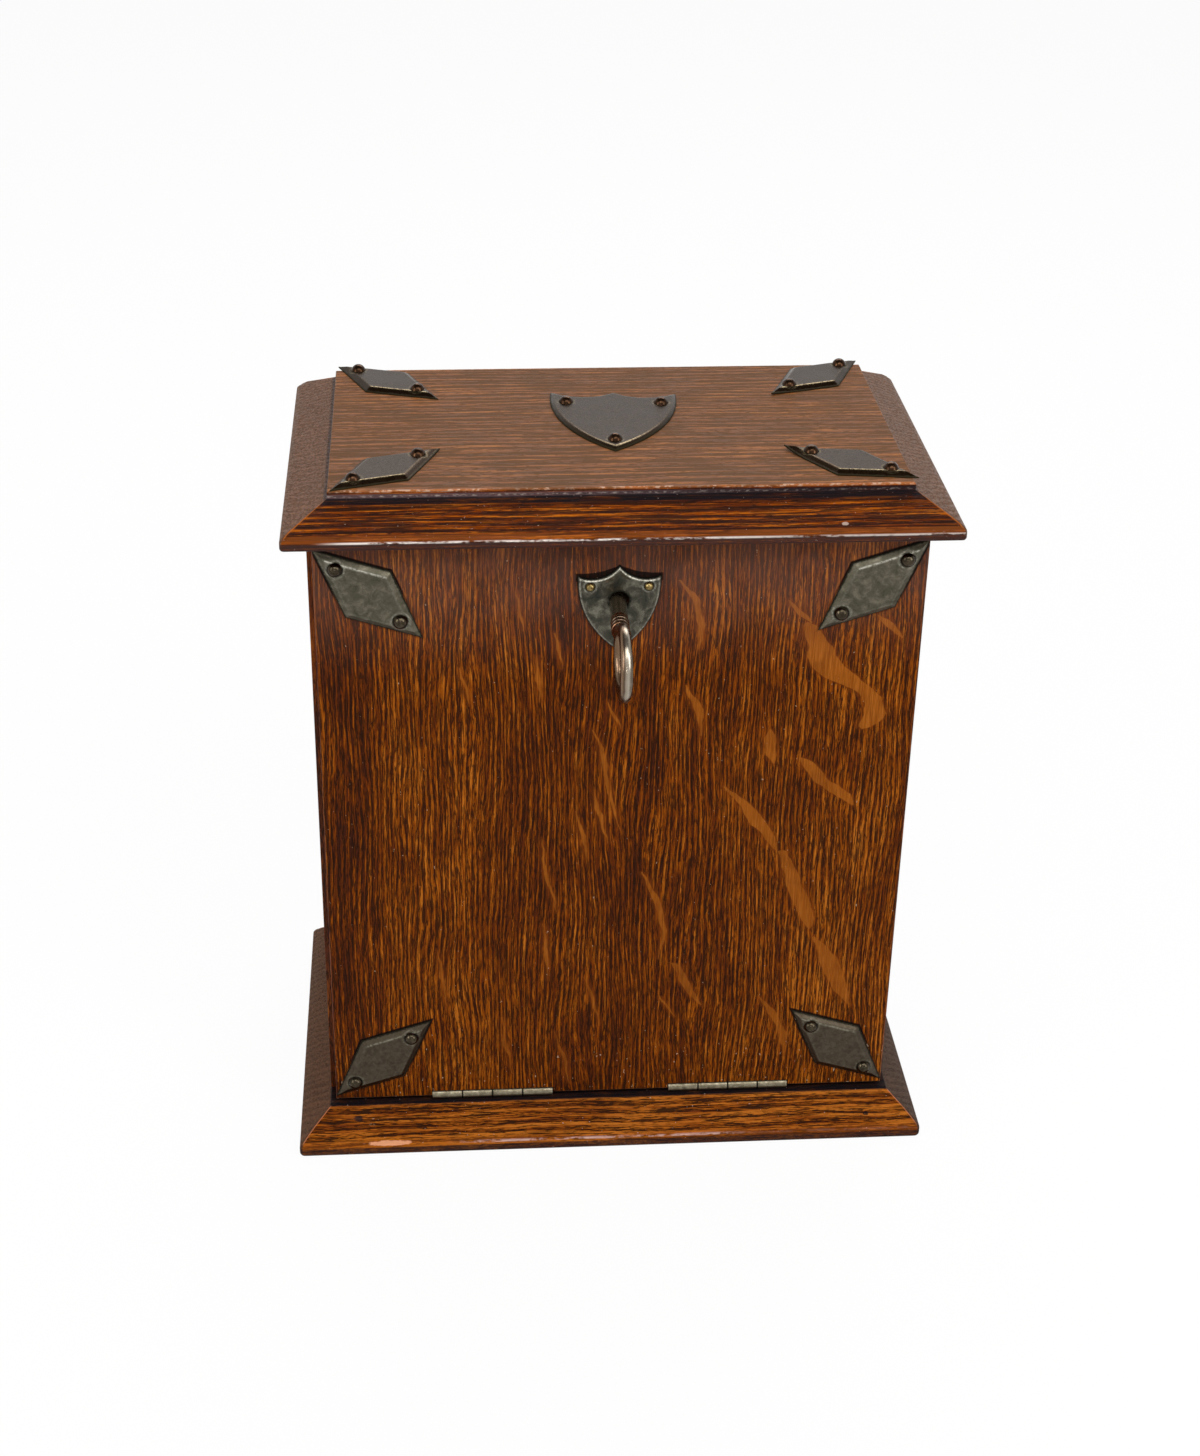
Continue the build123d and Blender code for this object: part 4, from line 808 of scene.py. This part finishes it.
MOUNTS = (
    ("fall_mount_top_left", -MOUNT_TURN, pewter, None),
    ("fall_mount_top_right", MOUNT_TURN, pewter, None),
    ("fall_mount_foot_left", MOUNT_TURN, foot_pewter, None),
    ("fall_mount_foot_right", -MOUNT_TURN, foot_pewter, None),
    ("lid_mount_front_left", 42, lid_pewter, tip_lift(1, 0.5)),
    ("lid_mount_front_right", -32, lid_pewter, tip_lift(-1, 1.6)),
    ("lid_mount_back_left", -42, lid_pewter, None),
    ("lid_mount_back_right", 42, lid_pewter, tip_lift(-1, 0.6)),
)
for index, (node, tilt, finish, warp) in enumerate(MOUNTS):
    low, high = (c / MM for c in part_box(node))
    body = node.split("_")[0]
    middle = (low + high) / 2
    if body == "fall":
        place, grain = frame_of((middle.x, high.y, middle.z), tilt, "front"), 0.02
    else:
        place, grain = frame_of((middle.x, middle.y, low.z), tilt, "top"), SMOOTH
    press(body, node, finish, DIAMOND, DIAMOND_PROFILE, place, PINS, warp=warp, seed=index * SEED_STEP,
          grain=grain)

# ---------------- the lid's shield
SHIELD_SIDE, SHIELD_DROP, SHIELD_SWELL, SHIELD_DIP = 24.9, 57.4, (19.9, -31.0), 5.4
SHIELD_TURN = -3.5  # degrees
SHIELD_X, SHIELD_SHIFT_Y = 1.4, 1.2  # of the shield's middle, the second one from the lid's middle
SHIELD_PINS = ((-18.7, -11.8), (18.7, -11.8), (0, -48.6))
PLATE_MIDDLE = Vector((0, -22.0))  # what the rings of points close in on
lid_low, lid_high = (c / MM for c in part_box("lid_board"))
shield_origin = (
    SHIELD_X - sin(radians(SHIELD_TURN)) * SHIELD_DROP / 2,
    (lid_low.y + lid_high.y) / 2 + SHIELD_SHIFT_Y + cos(radians(SHIELD_TURN)) * SHIELD_DROP / 2,
    lid_high.z,
)
SHIELD = outline_of((
    ((SHIELD_SIDE, 0), (SHIELD_SIDE / 2, -SHIELD_DIP), (0, 0)),
    ((0, 0), (-SHIELD_SIDE / 2, -SHIELD_DIP), (-SHIELD_SIDE, 0)),
    ((-SHIELD_SIDE, 0), (-SHIELD_SWELL[0], SHIELD_SWELL[1]), (0, -SHIELD_DROP)),
    ((0, -SHIELD_DROP), SHIELD_SWELL, (SHIELD_SIDE, 0))))
SHIELD_PROFILE = ((0, 0.45), (0.25, 0.75), (0.6, 1.05), (1.0, 1.35), (1.5, 1.62), (2.0, 1.70), (2.6, 1.70))
shield_place = frame_of(shield_origin, SHIELD_TURN, "top")
press("lid", "lid_shield", lid_pewter, [p - PLATE_MIDDLE for p in SHIELD], SHIELD_PROFILE,
      lambda x, y, h: shield_place(x + PLATE_MIDDLE.x, y + PLATE_MIDDLE.y, h),
      [Vector(p) - PLATE_MIDDLE for p in SHIELD_PINS], seed=77.0, fill=0.7, grain=SMOOTH)

# ---------------- escutcheon, with the keyhole's middle as its own
KEYHOLE_RADIUS, SLOT_HALF, SLOT_DROP = 3.7, 1.75, 9.55
RISE = Vector((0, 10.0))  # the top corners stand this far above the keyhole's middle
ESCUTCHEON = [p + RISE for p in outline_of((
    ((15.5, 0), (9.2, -1.2), (0, 4.4)), ((0, 4.4), (-9.2, -1.2), (-15.5, 0)),
    ((-15.5, 0), (-12.4, -17.0), (0, -31.2)), ((0, -31.2), (12.4, -17.0), (15.5, 0))), 0.7)]
ESCUTCHEON_PROFILE = ((0, 0.35), (0.2, 0.75), (0.45, 1.15), (0.8, 1.45), (1.2, 1.53), (1.6, 1.42), (2, 1.24),
                      (2.6, 1.28), (3.4, 1.36), (5, 1.36))


def keyhole_edge(p):
    """Where the line from the keyhole's middle towards p leaves it: a round with a slot below."""
    way = p.normalized()
    if way.y < 0:
        slot = way * min(SLOT_HALF / max(1e-6, abs(way.x)), SLOT_DROP / max(1e-6, -way.y))
        if slot.length > KEYHOLE_RADIUS:
            return slot
    return way * KEYHOLE_RADIUS


press("fall", "escutcheon", shield_pewter, ESCUTCHEON, ESCUTCHEON_PROFILE,
      frame_of((KEY_X, FRONT, KEY_Z), 0, "front"), [(-10.9, 5.8), (10.9, 5.8)], pin_radius=1.75,
      hole=[keyhole_edge(p) for p in ESCUTCHEON], seed=51.0, fill=0.5, low_rub_highlight=0.6)


# ---------------- key
# Distances along the key run out from the fall's front. Droop and yaw are in degrees.
KEY_DROOP, BOW_YAW = 0.7, 3.2
KEY_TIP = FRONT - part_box("key")[1].y / MM
SHANK_RADIUS, BORE_RADIUS, BORE_DEPTH = 3.15, 1.5, 13.0
BIT_LONG, BIT_WIDE, BIT_HIGH, BIT_MIDDLE = 3.0, 2.3, 8.8, -4.6
BOW_OUT, BOW_RADIUS, BOW_WIDE, BOW_THICK = 48.1, 12.35, 2.2, 1.95
BEAD_STEPS = (-0.99, -0.85, -0.55, 0, 0.55, 0.85, 0.99)  # places along a bead, from its middle
ROUNDING = 0.3


def key_point(out, x, z):
    """Out along the key's axis, true inside the lock and leaning and drooping outside, then across it."""
    past = max(0.0, out - KEY_BEND)
    return Vector((
        KEY_X + x - past * sin(radians(KEY_LEAN)),
        FRONT - out,
        KEY_Z + z - past * sin(radians(KEY_DROOP)),
    )) * MM


def turned(mesh, profile, segments=48):
    """A solid of revolution about the key's axis, from (out, radius) pairs."""
    rings = []
    for out, radius in profile:
        turns = [2 * pi * i / segments for i in range(segments)] if radius else [0.0]
        rings.append([mesh.verts.new(key_point(out, radius * cos(a), radius * sin(a))) for a in turns])
    for lower, upper in zip(rings, rings[1:]):
        for i, j in around(segments):
            corners = [row[k % len(row)] for row, k in ((lower, i), (lower, j), (upper, j), (upper, i))]
            mesh.faces.new(list(dict.fromkeys(corners)))


def swept_ring(mesh, segments=96, sides=28):
    """The bow: a ring of oval wire that stands in the plane of the key's bit."""
    def point(a, b):
        swell = 1 + 0.04 * cos(a) ** 2
        r = BOW_RADIUS + BOW_THICK * cos(b) * swell
        aside = BOW_WIDE * sin(b) * swell - r * cos(a) * sin(radians(BOW_YAW))
        return mesh.verts.new(key_point(BOW_OUT - r * cos(a), aside, r * sin(a)))

    rings = [[point(2 * pi * i / segments, 2 * pi * k / sides) for k in range(sides)]
             for i in range(segments)]
    for i, j in around(segments):
        for k, m in around(sides):
            mesh.faces.new((rings[i][k], rings[j][k], rings[j][m], rings[i][m]))


def add_bit(mesh):
    """The bit below the shank's tip, with rounded edges."""
    bit = bmesh.ops.create_cube(mesh, size=1.0)["verts"]
    for vert in bit:
        along, across, up = vert.co.y * BIT_LONG, vert.co.x * BIT_WIDE, vert.co.z * BIT_HIGH
        vert.co = key_point(KEY_TIP + BIT_LONG / 2 + along, across, BIT_MIDDLE + up)
    mesh.normal_update()
    bmesh.ops.bevel(mesh, geom=list({e for v in bit for e in v.link_edges}), offset=ROUNDING * MM, segments=2,
                    affect="EDGES", profile=0.5)


# The shank's outline: the bore and the tip, the beads, then the neck up to the bow
key_profile = [
    (KEY_TIP + BORE_DEPTH, 0.0), (KEY_TIP + BORE_DEPTH, BORE_RADIUS), (KEY_TIP + ROUNDING, BORE_RADIUS),
    (KEY_TIP, 1.8), (KEY_TIP, 2.9), (KEY_TIP + ROUNDING, 3.12), (0.0, SHANK_RADIUS), (15.8, SHANK_RADIUS),
    (16.4, 3.25), (16.9, 3.05)]
for bead in BEADS:
    key_profile += [(bead + t, 2.95 + 0.48 * sqrt(1 - t * t)) for t in BEAD_STEPS]
key_profile += [(24.6, 3.05), (25.4, 3.3), (26.4, 3.1), (28.5, 2.65), (31.0, 2.45), (33.0, 2.6), (35.0, 2.9),
                (36.2, 2.8), (37.2, 1.6), (37.5, 0.0)]
key_mesh = bmesh.new()
turned(key_mesh, key_profile)
swept_ring(key_mesh)
add_bit(key_mesh)
add_piece("turned_key", key_mesh, "key", "key", key_steel, 50)


# ---------------- worn corners and softened edges of the boards
CORNER_STEPS = 8


def shade_by_angle(limit):
    """A modifier's node group that shades smoothly, apart from edges sharper than limit degrees."""
    group = bpy.data.node_groups.new("crisp_shading", "GeometryNodeTree")
    for side in ("INPUT", "OUTPUT"):
        group.interface.new_socket("Geometry", in_out=side, socket_type="NodeSocketGeometry")
    start, angle, compare, faces, edges, end = (group.nodes.new(kind) for kind in (
        "NodeGroupInput", "GeometryNodeInputMeshEdgeAngle", "FunctionNodeCompare",
        "GeometryNodeSetShadeSmooth", "GeometryNodeSetShadeSmooth", "NodeGroupOutput"))
    faces.domain, edges.domain = "FACE", "EDGE"
    faces.inputs["Shade Smooth"].default_value = True
    edges.inputs["Shade Smooth"].default_value = False
    compare.data_type, compare.operation = "FLOAT", "GREATER_THAN"
    compare.inputs[1].default_value = radians(limit)
    for source, socket in ((angle, compare.inputs[0]), (start, faces.inputs["Geometry"]),
                           (faces, edges.inputs["Geometry"]), (compare, edges.inputs["Selection"]),
                           (edges, end.inputs[0])):
        group.links.new(source.outputs[0], socket)
    return group


def modify(name, label, kind, **settings):
    """Puts a modifier with its settings on a CAD board."""
    modifier = nodes[name].modifiers.new(label, kind)
    for setting, value in settings.items():
        setattr(modifier, setting, value)


def trim(name, levels, back_corner, front_corner):
    """Rounds a board's corners and nose with a stack of rounded rectangles (z, inset in x, inset in y)."""
    low, high = (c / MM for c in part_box(name))
    middle, half = (low + high) / 2, (high - low) / 2
    mesh = bmesh.new()
    rows = []
    for z, in_x, in_y in levels:
        row = []
        for side_x, side_y, start in ((1, 1, 0), (-1, 1, 90), (-1, -1, 180), (1, -1, 270)):
            radius = back_corner if side_y > 0 else front_corner
            for i in range(CORNER_STEPS + 1):
                a = radians(start + 90 * i / CORNER_STEPS)
                x = side_x * (half.x - in_x - radius) + radius * cos(a)
                y = side_y * (half.y - in_y - radius) + radius * sin(a)
                row.append(mesh.verts.new(Vector((middle.x + x, middle.y + y, z)) * MM))
        rows.append(row)
    for lower, upper in zip(rows, rows[1:]):
        for i, j in around(len(lower)):
            mesh.faces.new((lower[i], lower[j], upper[j], upper[i]))
    mesh.faces.new(rows[0][::-1])
    mesh.faces.new(rows[-1])
    bmesh.ops.recalc_face_normals(mesh, faces=mesh.faces)
    cutter = add_object("trim_" + name, mesh, nodes[name].data.materials[0])
    cutter.parent = nodes[name]
    cutter.matrix_parent_inverse = nodes[name].matrix_world.inverted()
    cutter.hide_render = cutter.hide_viewport = True
    modify(name, "trim", "BOOLEAN", operation="INTERSECT", solver="MANIFOLD", object=cutter)


CASE_BOARDS = ("left_side", "right_side", "back_panel")
for name in ("lid_board", "base_board", *CASE_BOARDS):
    modify(name, "weld", "WELD", merge_threshold=0.004 * MM)
trim("lid_board", ((274.7, 0.7, 0.7), (275.0, 0.35, 0.35), (275.5, 0.1, 0.1), (276.0, 0.02, 0.02),
                   (278.0, 0.02, 0.02), (278.8, 0.2, 0.2), (279.4, 0.7, 0.7), (279.9, 1.3, 1.3),
                   (280.8, 2.2, 2.1), (292.0, 16.4, 15.4)), 3.0, 1.2)
trim("base_board", ((-0.1, 0.9, 0.9), (0.4, 0.4, 0.4), (1.2, 0.08, 0.08), (2.0, 0.02, 0.02),
                    (3.8, 0.02, 0.02), (4.7, 0.15, 0.15), (5.4, 0.6, 0.6), (6.0, 1.3, 1.3),
                    (7.2, 2.3, 2.3), (17.5, 13.2, 13.2)), 2.4, 1.6)
for name in CASE_BOARDS:
    modify(name, "soft", "BEVEL", width=0.35 * MM, segments=2, limit_method="ANGLE", angle_limit=radians(25))
crisp_shading = shade_by_angle(32.0)
for name in ("lid_board", "base_board", *CASE_BOARDS):
    modify(name, "crisp", "NODES", node_group=crisp_shading)


# ---------------- floor, light and camera
WHITE = (1.0, 1.0, 1.0, 1.0)
AMBIENT, AMBIENT_STRENGTH = (1.0, 0.985, 0.96, 1.0), 0.42
CEILING_LOW, CEILING_HIGH, CEILING_DIM = 0.55, 0.85, 0.25  # what metal mirrors: dimmer straight above
FLOOR_GREY, FLOOR_GLOW = (0.80, 0.80, 0.80, 1.0), 0.94
FLOOR_RADIUS, FLOOR_DROP = 9.0, 0.0002  # metres


def seen_by(tree):
    """1 for rays from the camera, mirrors and glass, then 1 for rays from the camera alone."""
    path = tree.add("LightPath").outputs
    camera, mirror, glass = (path["Is %s Ray" % kind] for kind in ("Camera", "Glossy", "Transmission"))
    return tree.most(camera, mirror, glass), camera


def add_world():
    """A soft light all round, and a white backdrop where the camera and the metal look."""
    world = bpy.data.worlds.new("studio")
    scene.world = world
    world.use_nodes = True
    tree = Nodes(world.node_tree)
    seen, camera_ray = seen_by(tree)
    up = tree.split(tree.add("TexCoord").outputs["Generated"])[2]
    strength = tree.most(tree.span(up, CEILING_LOW, CEILING_HIGH, 1.0, CEILING_DIM), camera_ray)
    ambient = tree.add("Background", AMBIENT, AMBIENT_STRENGTH)
    backdrop = tree.add("Background", WHITE, strength)
    tree.add("OutputWorld", tree.add("MixShader", seen, ambient.outputs[0], backdrop.outputs[0]).outputs[0])


def add_floor():
    """A plain pale floor, which glows a little so that it meets the backdrop."""
    white = bpy.data.materials.new("floor_white")
    white.use_nodes = True
    tree = Nodes(white.node_tree)
    glow_part = tree.times(seen_by(tree)[0], FLOOR_GLOW)
    matte, glow = tree.add("BsdfDiffuse", FLOOR_GREY), tree.add("Emission", WHITE, 1.0)
    tree.add("OutputMaterial", tree.add("MixShader", glow_part, matte.outputs[0], glow.outputs[0]).outputs[0])
    mesh = bmesh.new()
    bmesh.ops.create_circle(mesh, cap_ends=True, segments=96, radius=FLOOR_RADIUS)
    floor = add_object("floor", mesh, white)
    floor.location.z = -FLOOR_DROP


def lamp(name, azimuth, elevation, distance, size, power):
    """A rectangular soft light aimed at the box. Azimuth 0 is straight in front, positive to the right."""
    data = bpy.data.lights.new(name, "AREA")
    data.shape = "RECTANGLE"
    data.size, data.size_y = size
    data.energy = power
    light = bpy.data.objects.new(name, data)
    a, e = radians(azimuth), radians(elevation)
    away = Vector((sin(a) * cos(e), -cos(a) * cos(e), sin(e)))
    light.location = TARGET + away * distance
    light.rotation_mode = "QUATERNION"
    light.rotation_quaternion = away.to_track_quat("Z", "Y")
    scene.collection.objects.link(light)


add_world()
add_floor()
TARGET = Vector((0.0, -0.03, 0.16))
lamp("key_light", 8, 56, 1.5, (1.2, 0.6), 11.0)
lamp("left_fill", -58, 24, 1.5, (0.5, 0.9), 7.0)
lamp("right_fill", 48, 28, 1.5, (0.5, 0.9), 7.0)
lamp("back_light", 170, 48, 1.6, (1.2, 0.6), 11.0)
lamp("glint", -4, 14, 1.3, (0.06, 0.06), 0.5)

# Camera: the photograph's own place and lens, in the model's frame
FOCAL_PX, CENTRE_U, CENTRE_V, WIDE_PX, HIGH_PX = 2281.8, 574.06, 627.99, 1200, 1456
SENSOR_WIDE = 36.0
CAMERA_AT = Vector((-70.72, -814.66, 631.81))
RIGHT = Vector((0.99788092, -0.06396638, 0.01191557))
DOWN = Vector((-0.01919406, -0.46436649, -0.88543512))
AHEAD = Vector((0.06217127, 0.8833301, -0.46461023))
camera_data = bpy.data.cameras.new("camera")
camera_data.sensor_width = SENSOR_WIDE
camera_data.lens = FOCAL_PX * SENSOR_WIDE / HIGH_PX
camera_data.shift_x = (WIDE_PX / 2 - CENTRE_U) / HIGH_PX
camera_data.shift_y = (CENTRE_V - HIGH_PX / 2) / HIGH_PX
camera_data.clip_start, camera_data.clip_end = 0.05, 50.0
camera = bpy.data.objects.new("camera", camera_data)
turned_camera = Matrix((RIGHT, -DOWN, -AHEAD)).transposed().to_4x4()
camera.matrix_world = Matrix.Translation(CAMERA_AT * MM) @ turned_camera
scene.collection.objects.link(camera)
scene.camera = camera

scene.view_settings.view_transform = "Standard"
